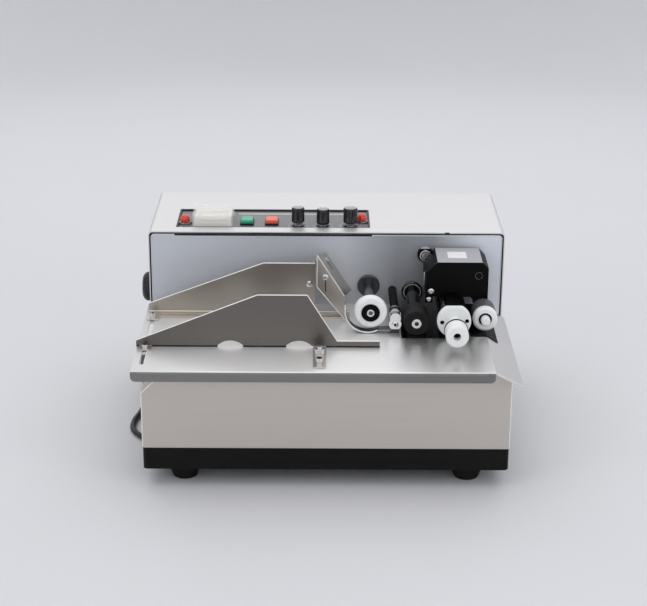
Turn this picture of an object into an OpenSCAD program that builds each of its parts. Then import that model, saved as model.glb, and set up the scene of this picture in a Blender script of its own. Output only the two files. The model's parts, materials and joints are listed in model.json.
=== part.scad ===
// Desk date coding machine: friction feed, solid ink roll, type drum and delivery roller
// on one mechanism plate, above a steel work table on a low casing.
// Drawn with X to the right, Y to the back from the lower front panel and Z up from the floor.

/* [Base and casing] */
// Width of the base tray and the lower casing
base_w = 370; // [350:1:384]
// Distance from the lower front panel back to the mechanism plate
deck_d = 184.5; // [178:0.5:200]
// Depth of the upper housing behind the face of the mechanism plate
housing_d = 148.5; // [145:0.5:165]
// Height of the rubber feet
foot_h = 20; // [16:0.5:24]
// Diameter of a foot under the tray
foot_d = 36; // [30:1:38]
// Diameter of a foot at the floor
foot_tip_d = 25; // [20:1:28]
// Distance between the left and the right feet
feet_span = 290; // [260:1:310]
// Distance of the feet from the front and the rear of the tray
foot_inset = 30; // [24:1:40]
// Height of the black base tray
tray_h = 23.5; // [20:0.5:28]
// Wall of the base tray
tray_t = 2.5; // [2:0.5:4]
// Corner radius of the base tray in plan
tray_r = 5; // [4.5:0.5:10]
// Sheet thickness of the lower casing
casing_t = 1.5; // [1:0.1:2.2]
// Size of the sloped left shoulder of the lower casing
shoulder = 26.5; // [20:0.5:30]

/* [Work table] */
// Height of the table surface above the floor
table_z = 131; // [125:0.5:140]
// Sheet thickness of the table
table_t = 1.5; // [1:0.1:2]
// How far the table stands out in front of the casing
table_over = 12; // [8:0.5:16]
// Height of the folded front lip
lip_h = 10.5; // [8:0.5:14]
// How far the table stands out past the left side of the casing
table_side = 8.5; // [5:0.5:11]
// Distance of the right flap's fold inside the right side of the casing
fold_in = 18; // [14:0.5:21]
// Width of the right flap, measured level
flap_run = 28; // [22:0.5:32]
// Drop of the right flap
flap_drop = 14; // [10:0.5:18]
// Outer radius of the bend above the front lip
bend_r = 3; // [2.2:0.1:4]
// Width of the clamp slots
slot_w = 4.6; // [4.4:0.1:6]

/* [Upper housing] */
// How far the upper housing stands out past each side of the casing
housing_side = 7.5; // [4:0.5:9]
// Height of the housing top above the floor
housing_top = 213.5; // [208:0.5:225]
// How far the upper housing reaches below the underside of the table
housing_lap = 11.5; // [8:0.5:14]
// Sheet thickness of the housing cover
housing_t = 1.2; // [1:0.1:2]
// Radius of the upper edges of the housing cover
housing_r = 5; // [4:0.5:8]
// Width of the black gasket round the mechanism plate
gasket_w = 1.5; // [1:0.1:2.5]
// Thickness of the mechanism plate
plate_t = 4; // [3:0.5:6]
// Thickness of the rear panel
rear_t = 1.5; // [1:0.1:2.5]

/* [Control panel] */
// Distance of the panel well from the left side of the housing
well_in = 28.9; // [24:0.2:34]
// Width of the panel well
well_w = 211; // [205:1:216]
// Front edge of the panel well, behind the mechanism plate's face
well_y = 15; // [13:0.5:20]
// Depth of the panel well, front to back
well_d = 67; // [62:0.5:72]
// Depth of the panel surface below the housing top
well_drop = 2; // [1.5:0.1:4]
// Diameter of the fluted control knobs
knob_d = 14.5; // [12:0.5:17]
// Height of the fluted control knobs
knob_h = 21; // [15:0.5:24]
// Width of the push buttons
button_w = 13; // [11:0.5:15]
// Depth of the push buttons, front to back
button_d = 17; // [13:0.5:18]
// Travel of the push buttons
button_travel = 1.5; // [1:0.1:1.8]
// Height of the clear counter cover above the panel
cover_h = 14; // [12.5:0.5:17]

/* [Guides and stop] */
// Place of the front guide's plate, behind the lower front panel
front_guide_y = 54; // [50:0.5:60]
// Distance of the rear guide's plate in front of the mechanism plate
rear_gap = 36.5; // [32:0.5:40]
// Height of the guide tops above the table
guide_h = 57; // [50:0.5:62]
// Sheet thickness of the guides and the stop blade
guide_t = 1.5; // [1:0.1:2]
// Width of the finger notches in the front guide
notch_w = 26.5; // [22:0.5:30]
// Height of the finger notches
notch_h = 5.5; // [4.5:0.5:7]
// Slope of the stop blade from level
blade_a = 57.2; // [54:0.2:60]

/* [Rollers and print head] */
// Radius of the white separator roller
sep_r = 17.4; // [16.5:0.1:18]
// Radius of the black feed roller
feed_r = 13.4; // [12:0.1:14]
// Radius of the white cap of the type drum
cap_r = 17.6; // [16.5:0.1:18]
// Radius of the type drum
drum_r = 15; // [13.5:0.1:15.4]
// Radius of the front knob of the type drum
grip_r = 11.7; // [10:0.1:13]
// Radius of the delivery roller
out_r = 13; // [11:0.1:13.4]
// Radius of the lower rollers
lower_r = 12; // [10:0.1:12.5]
// Radius of the solid ink roller
ink_r = 13.2; // [11:0.1:13.6]
// Radius of the drive shafts
shaft_r = 5; // [4:0.1:5.5]
// Wall of the black head cover
head_t = 1.5; // [1.2:0.1:2.5]
// Radius of the side knob
side_knob_r = 16; // [13:0.5:18]
// How far the side knob stands out of the housing
side_knob_reach = 10.2; // [8:0.2:14]

/* [Mains lead] */
// Diameter of the mains lead
cord_d = 6; // [5:0.1:6.4]
// Turns in the lower layer of the coil
coil_turns = 2.5; // [2.5:1:3.5]

/* [Hidden] */
$fn = 48;

// Clearances: running fits, sliding faces and face gaps between moving pieces
run = 0.05;
slide = 0.2;
gap = 0.4;
eps = 1;

// Heights and depths that follow from the driving sizes
body_d = deck_d + housing_d;
z_tray = foot_h;
z_floor = z_tray + tray_t;
z_seam = z_tray + tray_h;
casing_top = table_z - table_t;
table_left = base_w / 2 + table_side;
fold_x = base_w / 2 - fold_in;
housing_w = base_w + 2 * housing_side;
housing_foot = casing_top - housing_lap;
rear_guide_y = deck_d - rear_gap;
plate_back = deck_d + plate_t;
rear_face = body_d - rear_t;
pan_t = 1.5;
z_pan = housing_foot + pan_t;
cover_lip = 1;
head_h = 1.6;
flap_a = atan(flap_drop / flap_run);
flap_x = fold_x + flap_run;

// The frame's origin: middle of the machine's box, on the floor
x_shift = (housing_w / 2 + side_knob_reach - max(flap_x, housing_w / 2 + head_h)) / 2;
y_shift = (table_over - body_d - head_h) / 2;

module place() translate([x_shift, y_shift, 0]) children();

// A profile drawn in X and Z, given a length along Y
module along_y(y0, len) {
    translate([0, y0 + len, 0])
        rotate([90, 0, 0])
            linear_extrude(len) children();
}

// A round bar along Y
module rod_y(x, z, y0, len, r) {
    translate([x, y0, z])
        rotate([-90, 0, 0])
            cylinder(r = r, h = len);
}

// A turned form along Y: its profile is drawn with radius first, then distance
module turned_y(x, z, y0) {
    translate([x, y0, z])
        rotate([-90, 0, 0])
            rotate_extrude() children();
}

module rounded_box(w, d, r) {
    square([w - 2 * r, d], center = true);
    square([w, d - 2 * r], center = true);
    for (sx = [-1, 1], sy = [-1, 1])
        translate([sx * (w / 2 - r), sy * (d / 2 - r)])
            circle(r);
}

// An upright front outline with two rounded upper corners
module arch(w, z0, z1, r) {
    translate([-w / 2, z0])
        square([w, z1 - r - z0]);
    translate([r - w / 2, z0])
        square([w - 2 * r, z1 - z0]);
    for (s = [-1, 1])
        translate([s * (w / 2 - r), z1 - r])
            circle(r);
}

// A slot along Y with round ends
module slot_y(x, y0, y1, w, z0, h) {
    translate([x, 0, z0]) {
        translate([-w / 2, y0 + w / 2, 0])
            cube([w, y1 - y0 - w, h]);
        for (y = [y0 + w / 2, y1 - w / 2])
            translate([0, y, 0])
                cylinder(d = w, h = h);
    }
}

// Base tray with a boss above each foot

feet = [for (sx = [-1, 1], y = [foot_inset, body_d - foot_inset]) [sx * feet_span / 2, y]];
screw_r = 2;
boss_r = 6;
boss_h = 9;
gland_x = -150;
gland_r = 6.5;
gland_z = z_tray + tray_h / 2 + tray_t / 2;

module base_tray() {
    color("#17171a")
    difference() {
        union() {
            difference() {
                translate([0, body_d / 2, z_tray])
                    linear_extrude(tray_h) rounded_box(base_w, body_d, tray_r);
                translate([0, body_d / 2, z_floor])
                    linear_extrude(tray_h)
                        rounded_box(base_w - 2 * tray_t, body_d - 2 * tray_t, tray_r - tray_t + 0.5);
            }
            for (f = feet)
                translate([f[0], f[1], z_tray])
                    cylinder(r = boss_r, h = boss_h);
        }
        for (f = feet)
            translate([f[0], f[1], z_tray - eps])
                cylinder(r = screw_r + run, h = boss_h + 2 * eps);
        rod_y(gland_x, gland_z, body_d - tray_t - eps, tray_t + 2 * eps, gland_r - 2);
    }
}

foot_recess_r = 5.5;
foot_web = 8;
foot_rim = 4;

module rubber_feet() {
    color("#0f0f10")
    for (f = feet)
        translate([f[0], f[1], 0])
            rotate_extrude()
                polygon([[screw_r + run, foot_h], [foot_d / 2, foot_h], [foot_d / 2, foot_h - foot_rim],
                    [foot_tip_d / 2, 0], [foot_recess_r, 0], [foot_recess_r, foot_h - foot_web],
                    [screw_r + run, foot_h - foot_web]]);
}

// Lower casing: one wrapped sheet, open below, behind and under the table

flap_slope = flap_drop / flap_run;
right_run = base_w / 2 - fold_x + 4;

function shoulder_side(i, a) = i * (1 - sin(a)) / cos(a);
function shoulder_top(i, a) = i * (1 - cos(a)) / sin(a);

module casing_outline(i, z0) {
    polygon([
        [i - base_w / 2, z0],
        [i - base_w / 2, casing_top - shoulder - shoulder_side(i, 45)],
        [shoulder - base_w / 2 + shoulder_top(i, 45), casing_top - i],
        [base_w / 2 - right_run - shoulder_top(i, flap_a), casing_top - i],
        [base_w / 2 - i, casing_top - right_run * flap_slope - shoulder_side(i, flap_a)],
        [base_w / 2 - i, z0]]);
}

well_edge = 8;

module lower_casing() {
    color("#c9c4be")
    difference() {
        along_y(0, rear_face) casing_outline(0, z_seam);
        along_y(casing_t, body_d) casing_outline(casing_t, z_seam - eps);
        translate([shoulder + well_edge - base_w / 2, casing_t, casing_top - 2 * casing_t])
            cube([base_w - shoulder - right_run - 2 * well_edge, body_d, 4 * casing_t]);
        translate([-base_w, deck_d, housing_foot])
            cube([2 * base_w, body_d, casing_top]);
    }
}

// Work table: flat sheet with a folded front lip, a sloping right flap, slots and a roller opening

slot_in = 0.5;
slot_left_x = slot_in - base_w / 2;
slot_mid_x = -7;
print_in = 35;
print_x = fold_x - print_in;
opening_left = 54;
opening_right = 16;
opening_reach = 102.5;
opening_x0 = print_x - opening_left;
opening_x1 = print_x + opening_right;
opening_y = deck_d - opening_reach;
lip_corner = 5;
front_travel = [-3, 30];
rear_travel = [-5, 20];
nut_y = 34;
socket_y = 11;
left_clamp_y = front_guide_y - 5;
rear_clamp_y = rear_guide_y - 12;

// A sheet that runs level from x0 to the fold and down along the flap, t thick (below the surface if negative)
module folded_sheet(x0, reach, t) {
    a = flap_a;
    polygon([[x0, table_z], [fold_x, table_z], [fold_x + reach, table_z - reach * flap_slope],
        [fold_x + reach + t * sin(a), table_z - reach * flap_slope + t * cos(a)],
        [fold_x + t * tan(a / 2), table_z + t], [x0, table_z + t]]);
}

module work_table() {
    lip_y = -table_over;
    color("#d8d6d3")
    difference() {
        union() {
            along_y(lip_y + bend_r, deck_d - lip_y - bend_r)
                folded_sheet(-table_left, flap_run, -table_t);
            along_y(lip_y, bend_r)
                intersection() {
                    folded_sheet(-table_left, flap_run, -table_t);
                    translate([fold_x, 0])
                        square(2 * table_z);
                }
            translate([-table_left, lip_y + bend_r, table_z - bend_r])
                rotate([0, 90, 0])
                    intersection() {
                        difference() {
                            cylinder(r = bend_r, h = table_left + fold_x);
                            translate([0, 0, -eps])
                                cylinder(r = bend_r - table_t, h = table_left + fold_x + 2 * eps);
                        }
                        translate([-bend_r, -bend_r, 0])
                            cube([bend_r, bend_r, table_left + fold_x]);
                    }
            along_y(lip_y, table_t) {
                translate([-table_left, table_z - lip_h + lip_corner])
                    square([table_left + fold_x, lip_h - lip_corner - bend_r]);
                translate([lip_corner - table_left, table_z - lip_h])
                    square([table_left + fold_x - 2 * lip_corner, lip_corner]);
                for (x = [lip_corner - table_left, fold_x - lip_corner])
                    translate([x, table_z - lip_h + lip_corner])
                        circle(lip_corner);
            }
        }
        slot_y(slot_left_x, left_clamp_y + front_travel[0] - slot_w / 2 - 36,
            rear_clamp_y + rear_travel[1] + slot_w / 2 + slide, slot_w, casing_top - eps, table_t + 2 * eps);
        slot_y(slot_mid_x, socket_y + front_travel[0] - slot_w / 2 - slide,
            nut_y + front_travel[1] + slot_w / 2 + slide, slot_w, casing_top - eps, table_t + 2 * eps);
        translate([opening_x0, opening_y, casing_top - eps])
            cube([opening_x1 - opening_x0, deck_d, table_t + 2 * eps]);
        for (x = [-base_w - plate_w / 2, plate_w / 2])
            translate([x, deck_d - cover_lip - slide, 0])
                cube([base_w, 2 * cover_lip + slide, 2 * table_z]);
    }
}

// Upper housing: cover, pan, mechanism plate, gasket and rear panel

cover_in = housing_w - 2 * housing_t;
plate_w = cover_in - 2 * gasket_w;
plate_top = housing_top - housing_t - gasket_w;
leg_w = 270;
side_knob_y = 215;
side_knob_z = 139.5;
stem_r = 3;
well_y0 = deck_d + well_y;
panel_z = housing_top - well_drop;
side_screws = [[deck_d + 62, housing_foot + 14], [body_d - 24, housing_foot + 14],
    [deck_d + 24, housing_top - 22], [body_d - 24, housing_top - 22]];

module housing_cover() {
    color("#dcdde0")
    difference() {
        along_y(deck_d - cover_lip, rear_face - deck_d + cover_lip)
            arch(housing_w, housing_foot, housing_top, housing_r);
        along_y(deck_d - 2 * cover_lip, body_d)
            arch(cover_in, housing_foot - eps, housing_top - housing_t, housing_r - housing_t);
        translate([-well_left, well_y0, housing_top - 2 * housing_t])
            cube([well_w, well_d, 4 * housing_t]);
        translate([-housing_w / 2 - eps, side_knob_y, side_knob_z])
            rotate([0, 90, 0])
                cylinder(r = stem_r + run, h = housing_t + 2 * eps);
        for (s = side_screws)
            translate([-housing_w, s[0], s[1]])
                rotate([0, 90, 0])
                    cylinder(r = screw_r, h = 2 * housing_w);
    }
}

module housing_pan() {
    color("#b9bbbe")
    translate([-cover_in / 2, plate_back, housing_foot])
        cube([cover_in, rear_face - plate_back, pan_t]);
}

// Shaft places on the mechanism plate, as X and Z
head_base = [print_x, table_z];
sep_at = head_base + [-86, 22];
feed_at = head_base + [-38.5, 15.5];
print_at = head_base + [0, 19];
out_at = head_base + [34, 14.3];
lower_rise = 0.5;
lower_feed_at = [feed_at[0], table_z + lower_rise - lower_r];
platen_at = [print_at[0], table_z + lower_rise - lower_r];
rod_at = head_base + [-60, 17];
rod_r = 4;
drive_shafts = [sep_at, feed_at, print_at, out_at];
lower_shaft_r = 4;
lower_shafts = [lower_feed_at, platen_at];
collar_r = 8;
lower_collar_r = 6;
pivot_at = head_base + [-25.4, 59.3];
pivot_r = 4;

module front_plate() {
    color("#aeb3bb")
    difference() {
        along_y(deck_d, plate_t) {
            arch(plate_w, housing_foot, plate_top, housing_r - housing_t);
            translate([-leg_w / 2, z_floor])
                square([leg_w, housing_foot - z_floor + eps]);
        }
        for (s = drive_shafts)
            rod_y(s[0], s[1], deck_d - eps, plate_t + 2 * eps, collar_r);
        for (s = lower_shafts)
            rod_y(s[0], s[1], deck_d - eps, plate_t + 2 * eps, lower_collar_r);
        rod_y(rod_at[0], rod_at[1], deck_d - eps, plate_t + 2 * eps, rod_r - 1);
        rod_y(pivot_at[0], pivot_at[1], deck_d - eps, plate_t + 2 * eps, pivot_r - 1);
    }
}

module plate_gasket() {
    color("#101012")
    difference() {
        along_y(deck_d - cover_lip / 2, plate_t)
            arch(cover_in, housing_foot, housing_top - housing_t, housing_r - housing_t);
        along_y(deck_d - cover_lip, plate_t + 2 * cover_lip)
            arch(plate_w, housing_foot - eps, plate_top, housing_r - housing_t);
    }
}

vent_n = 11;
vent_pitch = 14;
vent_w = 4;
vent_h = 34;
rear_screws = [for (sx = [-1, 1], z = [z_seam + 12, housing_foot + 14, housing_top - 22])
    [sx * (base_w / 2 - 14), z]];

module rear_panel() {
    color("#c3c5c9")
    difference() {
        along_y(rear_face, rear_t) {
            arch(housing_w, housing_foot, housing_top, housing_r);
            intersection() {
                casing_outline(0, z_seam);
                translate([-base_w, z_seam])
                    square([2 * base_w, housing_foot - z_seam + eps]);
            }
        }
        for (i = [0 : vent_n - 1])
            translate([(i - (vent_n - 1) / 2) * vent_pitch, 0, 0])
                along_y(rear_face - eps, rear_t + 2 * eps) {
                    translate([-vent_w / 2, housing_top - 66])
                        square([vent_w, vent_h]);
                    for (z = [0, vent_h])
                        translate([0, housing_top - 66 + z])
                            circle(d = vent_w);
                }
        for (s = rear_screws)
            rod_y(s[0], s[1], rear_face - eps, rear_t + 2 * eps, screw_r);
    }
}

// Pan head screw along its own Z, with the underside of the head at zero
module pan_screw(r, len) {
    rotate_extrude()
        polygon([[0, -len], [r - run, -len], [r - run, 0], [2 * r - 0.6, 0], [2 * r - 0.6, head_h * 0.6],
            [r, head_h], [0, head_h]]);
}

bolt_at = head_base + [-60.3, 10.5];
shoe_reach = 89.5;
shoe_y = deck_d - shoe_reach;
shoe_w = 11;
blade_screw_at = 1.7;
bolt_len = 6;

module fixing_screws() {
    color("#d5d5d6") {
        for (s = side_screws, side = [-1, 1])
            translate([side * housing_w / 2, s[0], s[1]])
                rotate([0, side * 90, 0])
                    pan_screw(screw_r, 4);
        for (s = rear_screws)
            translate([s[0], body_d, s[1]])
                rotate([-90, 0, 0])
                    pan_screw(screw_r, 5);
        translate([bolt_at[0], shoe_y, bolt_at[1]])
            rotate([90, 0, 0])
                pan_screw(screw_r, bolt_len);
        for (f = feet)
            translate([f[0], f[1], foot_h - foot_web])
                rotate([180, 0, 0])
                    pan_screw(screw_r, foot_web + boss_h - 2);
        blade_frame()
            translate([0, blade_screw_y, guide_t + gap / 2])
                pan_screw(screw_r, guide_t + bracket_t);
    }
}

// Control panel: black well, grey plate, lamps, buttons, knobs and the counter under its clear cover

well_t = 2;
ledge = 4;
panel_t = 2;
flange = 6;
well_left = housing_w / 2 - well_in;
panel_x = well_w / 2 - well_left;
cover_w = 0.208 * well_w;
cover_d = 0.66 * well_d;
panel_y = well_y0 + well_d / 2;
row_y = well_y0 + well_d / 5;
lamp_left = [0.041 * well_w - well_left, row_y + 6];
lamp_right = [0.96 * well_w - well_left, row_y + well_d / 5];
lamp_r = 5.2;
knob_x = [for (f = [0.628, 0.757, 0.899]) f * well_w - well_left];
start_at = [0.363 * well_w - well_left, row_y + 8];
stop_at = [0.491 * well_w - well_left, row_y + 8];
counter_x = 0.188 * well_w - well_left;
bezel_w = button_w + 2;
bezel_d = button_d + 2;
bezel_h = 2.5;
button_stem_r = 2.5;

module panel_well() {
    color("#131315")
    difference() {
        union() {
            translate([-well_left, well_y0, panel_z - panel_t - ledge])
                cube([well_w, well_d, well_drop + panel_t + ledge]);
            translate([-well_left - flange, well_y0 - flange, housing_top - 2 * housing_t])
                cube([well_w + 2 * flange, well_d + 2 * flange, housing_t]);
        }
        translate([well_t - well_left, well_y0 + well_t, panel_z - panel_t])
            cube([well_w - 2 * well_t, well_d - 2 * well_t, 2 * well_drop + panel_t]);
        translate([well_t + ledge - well_left, well_y0 + well_t + ledge, 0])
            cube([well_w - 2 * well_t - 2 * ledge, well_d - 2 * well_t - 2 * ledge, housing_top]);
    }
}

module control_panel() {
    color("#8d9095")
    difference() {
        translate([well_t + slide - well_left, well_y0 + well_t + slide, panel_z - panel_t])
            cube([well_w - 2 * well_t - 2 * slide, well_d - 2 * well_t - 2 * slide, panel_t]);
        for (x = knob_x)
            translate([x, row_y, panel_z - 2 * panel_t])
                cylinder(r = stem_r + run, h = 3 * panel_t);
        for (p = [start_at, stop_at])
            translate([p[0], p[1], panel_z - 2 * panel_t])
                cylinder(r = button_stem_r + run, h = 3 * panel_t);
    }
}

module button_bezels() {
    color("#141416")
    for (p = [start_at, stop_at])
        translate([p[0], p[1], panel_z])
            difference() {
                linear_extrude(bezel_h) rounded_box(bezel_w, bezel_d, 1.5);
                translate([0, 0, -eps])
                    linear_extrude(bezel_h + 2 * eps)
                        rounded_box(button_w + 2 * slide, button_d + 2 * slide, 1.2);
            }
}

button_h = 3.8;
button_rise = 2;

module push_button(p) {
    translate([p[0], p[1], panel_z + button_rise])
        linear_extrude(button_h - 1) rounded_box(button_w, button_d, 1);
    translate([p[0], p[1], panel_z + button_rise + button_h - 1])
        linear_extrude(1) rounded_box(button_w - 1.4, button_d - 1.4, 1);
    translate([p[0], p[1], panel_z - 9])
        cylinder(r = button_stem_r, h = 9 + button_rise);
}

module start_button() color("#1f9a6a") push_button(start_at);
module stop_button() color("#d8402f") push_button(stop_at);

module indicator_lamps() {
    color("#c02018")
    for (p = [lamp_left, lamp_right])
        translate([p[0], p[1], panel_z])
            rotate_extrude() {
                square([lamp_r + 1.2, 1.5]);
                square([lamp_r, 5]);
                translate([0, 5])
                    intersection() {
                        circle(lamp_r);
                        square(lamp_r);
                    }
            }
}

flutes = 14;
knob_lift = 1;

module control_knob(x, d) {
    translate([x, row_y, panel_z]) {
        difference() {
            translate([0, 0, knob_lift])
                rotate_extrude()
                    polygon([[0, 0], [d / 2 + 0.8, 0], [d / 2 + 0.8, 2.2], [d / 2, 3.4],
                        [d / 2 - 0.3, knob_h - 0.8], [d / 2 - 1.1, knob_h - knob_lift], [0, knob_h - knob_lift]]);
            for (i = [0 : flutes - 1])
                rotate(i * 360 / flutes)
                    translate([d / 2 + 0.35, 0, knob_lift + 3.6])
                        cylinder(r = 0.9, h = knob_h);
        }
        translate([0, 0, -9])
            cylinder(r = stem_r, h = 9 + 2 * knob_lift);
    }
}

module temperature_knob() color("#141414") control_knob(knob_x[0], knob_d);
module feed_knob() color("#141414") control_knob(knob_x[1], knob_d);
module print_knob() color("#141414") control_knob(knob_x[2], knob_d + 1.5);

module side_knob() {
    color("#121214")
    translate([-housing_w / 2, side_knob_y, side_knob_z])
        rotate([0, -90, 0]) {
            difference() {
                translate([0, 0, gap])
                    rotate_extrude()
                        polygon([[0, 0], [side_knob_r - 1.5, 0], [side_knob_r, 1.5],
                            [side_knob_r, side_knob_reach - 5], [side_knob_r - 1.4, side_knob_reach - 2.4],
                            [side_knob_r - 4.5, side_knob_reach - gap], [0, side_knob_reach - gap]]);
                for (i = [0 : 17])
                    rotate(i * 20)
                        translate([side_knob_r + 0.7, 0, -eps])
                            cylinder(r = 1.4, h = side_knob_reach);
            }
            translate([0, 0, -16])
                cylinder(r = stem_r, h = 16 + 2 * gap);
        }
}

cover_t = 1.5;
cover_y = well_y0 + well_t + slide;
hinge_y = cover_y + cover_d;
hinge_z = panel_z + 3;
pin_r = 1;
knuckle_r = 2.2;
knuckle_w = 6;
counter_in = 2.5;

module counter_body() {
    color("#e9dfc6") {
        difference() {
            translate([counter_x - cover_w / 2 + counter_in, cover_y + 2 * counter_in, panel_z])
                cube([cover_w - 2 * counter_in, cover_d - 4 * counter_in, cover_h - cover_t - 2.5]);
            translate([counter_x - cover_w / 2 + 2.5 * counter_in, cover_y + 3 * counter_in,
                panel_z + cover_h - cover_t - 4.5])
                cube([cover_w - 5 * counter_in, cover_d - 8 * counter_in, 5]);
        }
        translate([counter_x - cover_w / 2 + knuckle_w + slide, hinge_y - counter_in * 2, panel_z])
            cube([cover_w - 2 * knuckle_w - 2 * slide, counter_in * 2 + 0.5, hinge_z - panel_z + 1.5]);
        translate([counter_x - cover_w / 2 + slide, hinge_y, hinge_z])
            rotate([0, 90, 0])
                cylinder(r = pin_r, h = cover_w - 2 * slide);
    }
}

module counter_cover() {
    color([0.95, 0.96, 0.97, 0.35])
    difference() {
        union() {
            difference() {
                translate([counter_x, cover_y + cover_d / 2 - slide, panel_z + slide])
                    linear_extrude(cover_h - slide) rounded_box(cover_w, cover_d - 2 * slide, 2);
                translate([counter_x, cover_y + cover_d / 2 - slide, panel_z - eps])
                    linear_extrude(cover_h - cover_t + eps)
                        rounded_box(cover_w - 2 * cover_t, cover_d - 2 * cover_t - 2 * slide, 1);
                translate([counter_x - cover_w / 2 + knuckle_w, hinge_y - 3 * counter_in, panel_z - eps])
                    cube([cover_w - 2 * knuckle_w, 4 * counter_in, hinge_z - panel_z + knuckle_r + 2 * eps]);
            }
            for (x = [counter_x - cover_w / 2, counter_x + cover_w / 2 - knuckle_w])
                translate([x, hinge_y, hinge_z])
                    rotate([0, 90, 0])
                        cylinder(r = knuckle_r, h = knuckle_w);
        }
        translate([counter_x - cover_w / 2 - eps, hinge_y, hinge_z])
            rotate([0, 90, 0])
                cylinder(r = pin_r + run, h = cover_w + 2 * eps);
    }
}

// Guides: bent sheets with finger notches, clamped through the slots of the table

guide_lift = 2.2;
tab_z = table_z + slide;
z_guide = table_z + guide_h;
front_end = 54.5;
front_knee = 11;
front_crest = [-70, -19.5];
front_left = slot_left_x - 9.5;
notch_x = [-98, -28];
notch_R = (notch_w * notch_w / 4 + notch_h * notch_h) / (2 * notch_h);
strip_h = 7.5;
tab_w = 12.4;
tab_y = -2;

module front_guide() {
    color("#8f8b85") {
        difference() {
            along_y(front_guide_y, guide_t)
                polygon([[front_left, table_z + guide_lift], [front_left, table_z + strip_h],
                    [front_crest[0], z_guide], [front_crest[1], z_guide], [front_knee, table_z + strip_h],
                    [front_end, table_z + strip_h], [front_end, table_z + guide_lift]]);
            for (x = notch_x)
                rod_y(x, table_z + guide_lift + notch_h - notch_R, front_guide_y - eps,
                    guide_t + 2 * eps, notch_R);
        }
        difference() {
            union() {
                translate([slot_mid_x - tab_w / 2, tab_y, tab_z])
                    cube([tab_w, front_guide_y + guide_t - tab_y, guide_t]);
                translate([slot_mid_x - tab_w / 2, front_guide_y, tab_z])
                    cube([tab_w, guide_t, guide_lift + guide_t]);
                translate([slot_left_x - tab_w / 2, left_clamp_y - tab_w / 2, tab_z])
                    cube([tab_w, front_guide_y + guide_t - left_clamp_y + tab_w / 2, guide_t]);
                translate([slot_left_x - tab_w / 2, front_guide_y, tab_z])
                    cube([tab_w, guide_t, guide_lift + guide_t]);
            }
            for (p = [[slot_mid_x, nut_y], [slot_mid_x, socket_y], [slot_left_x, left_clamp_y]])
                translate([p[0], p[1], table_z - eps])
                    cylinder(r = screw_r + run, h = guide_t + 3 * eps);
        }
    }
}

nut_w = 9;
nut_t = 3;
clamp_top = tab_z + guide_t;

// A clamp screw through a tab and a slot, with a square nut below the table
module clamp_screw(x, y) {
    translate([x, y, casing_top - slide - nut_t])
        cylinder(r = screw_r, h = clamp_top - casing_top + slide + nut_t + 1);
    translate([x - nut_w / 2, y - nut_w / 2, casing_top - slide - nut_t])
        cube([nut_w, nut_w, nut_t]);
}

module socket_head(x, y, r, h) {
    translate([x, y, clamp_top])
        difference() {
            cylinder(r = r, h = h);
            translate([0, 0, h / 2])
                cylinder(r = r * 0.55, h = h, $fn = 6);
        }
}

module knurled_head(x, y, r, h) {
    translate([x, y, clamp_top])
        difference() {
            union() {
                cylinder(r = r, h = h);
                translate([0, 0, h])
                    cylinder(r = r * 0.55, h = h * 0.4);
            }
            for (i = [0 : 15])
                rotate(i * 22.5)
                    translate([r + 0.3, 0, -eps])
                        cylinder(r = 0.7, h = h + eps, $fn = 16);
        }
}

module front_guide_clamps() {
    color("#cfcfd0") {
        clamp_screw(slot_mid_x, nut_y);
        knurled_head(slot_mid_x, nut_y, 5, 6);
        clamp_screw(slot_mid_x, socket_y);
        socket_head(slot_mid_x, socket_y, 3.6, 5);
        clamp_screw(slot_left_x, left_clamp_y);
        socket_head(slot_left_x, left_clamp_y, 3.2, 3.6);
    }
}

rear_left = slot_left_x - 5.5;
rear_crest = [-67, -12];
rear_end = 25;
rear_end_h = 13;
rear_strip_h = 5;
rear_flange = 10;

module rear_guide() {
    color("#9a948b")
    difference() {
        union() {
            along_y(rear_guide_y, guide_t)
                polygon([[rear_left, tab_z], [rear_left, table_z + rear_end_h], [rear_crest[0], z_guide + 2],
                    [rear_crest[1], z_guide + 2], [rear_crest[1], table_z + rear_strip_h],
                    [rear_end, table_z + rear_strip_h], [rear_end, tab_z]]);
            translate([rear_left, rear_guide_y - rear_flange, tab_z])
                cube([rear_end - rear_left, rear_flange + guide_t, guide_t]);
            translate([slot_left_x - tab_w / 2, rear_clamp_y - tab_w / 2, tab_z])
                cube([tab_w, tab_w, guide_t]);
        }
        translate([slot_left_x, rear_clamp_y, table_z - eps])
            cylinder(r = screw_r + run, h = guide_t + 3 * eps);
        rod_y(rear_crest[1] - 6, table_z + 36, rear_guide_y - eps, guide_t + 2 * eps, screw_r);
    }
}

module rear_guide_clamps() {
    color("#cfcfd0") {
        clamp_screw(slot_left_x, rear_clamp_y);
        socket_head(slot_left_x, rear_clamp_y, 3.6, 5);
        translate([rear_crest[1] - 6, rear_guide_y, table_z + 36])
            rotate([90, 0, 0])
                pan_screw(screw_r, guide_t + 1);
    }
}

// Stop blade: an inclined strip with a bent front flange, on a bracket bolted to the plate

blade_top = [-10, table_z + 74];
blade_reach = 54.5;
blade_y = deck_d - blade_reach;
blade_screw_y = deck_d - 22.5;
blade_len = 53.5;
blade_short = 17.3;
blade_tail = 68.9;
bracket_t = 2;
bracket_w = 18;
bracket_in = 5;
bracket_d = 36;
bracket_foot = 14;
blade_travel = 10;

// The blade's own frame: X down the slope, Y to the back, Z out of the blade's upper face
module blade_frame() {
    translate([blade_top[0], 0, blade_top[1]])
        rotate([0, blade_a, 0])
            translate([blade_short + blade_screw_at, 0, -guide_t])
                children();
}

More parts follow.
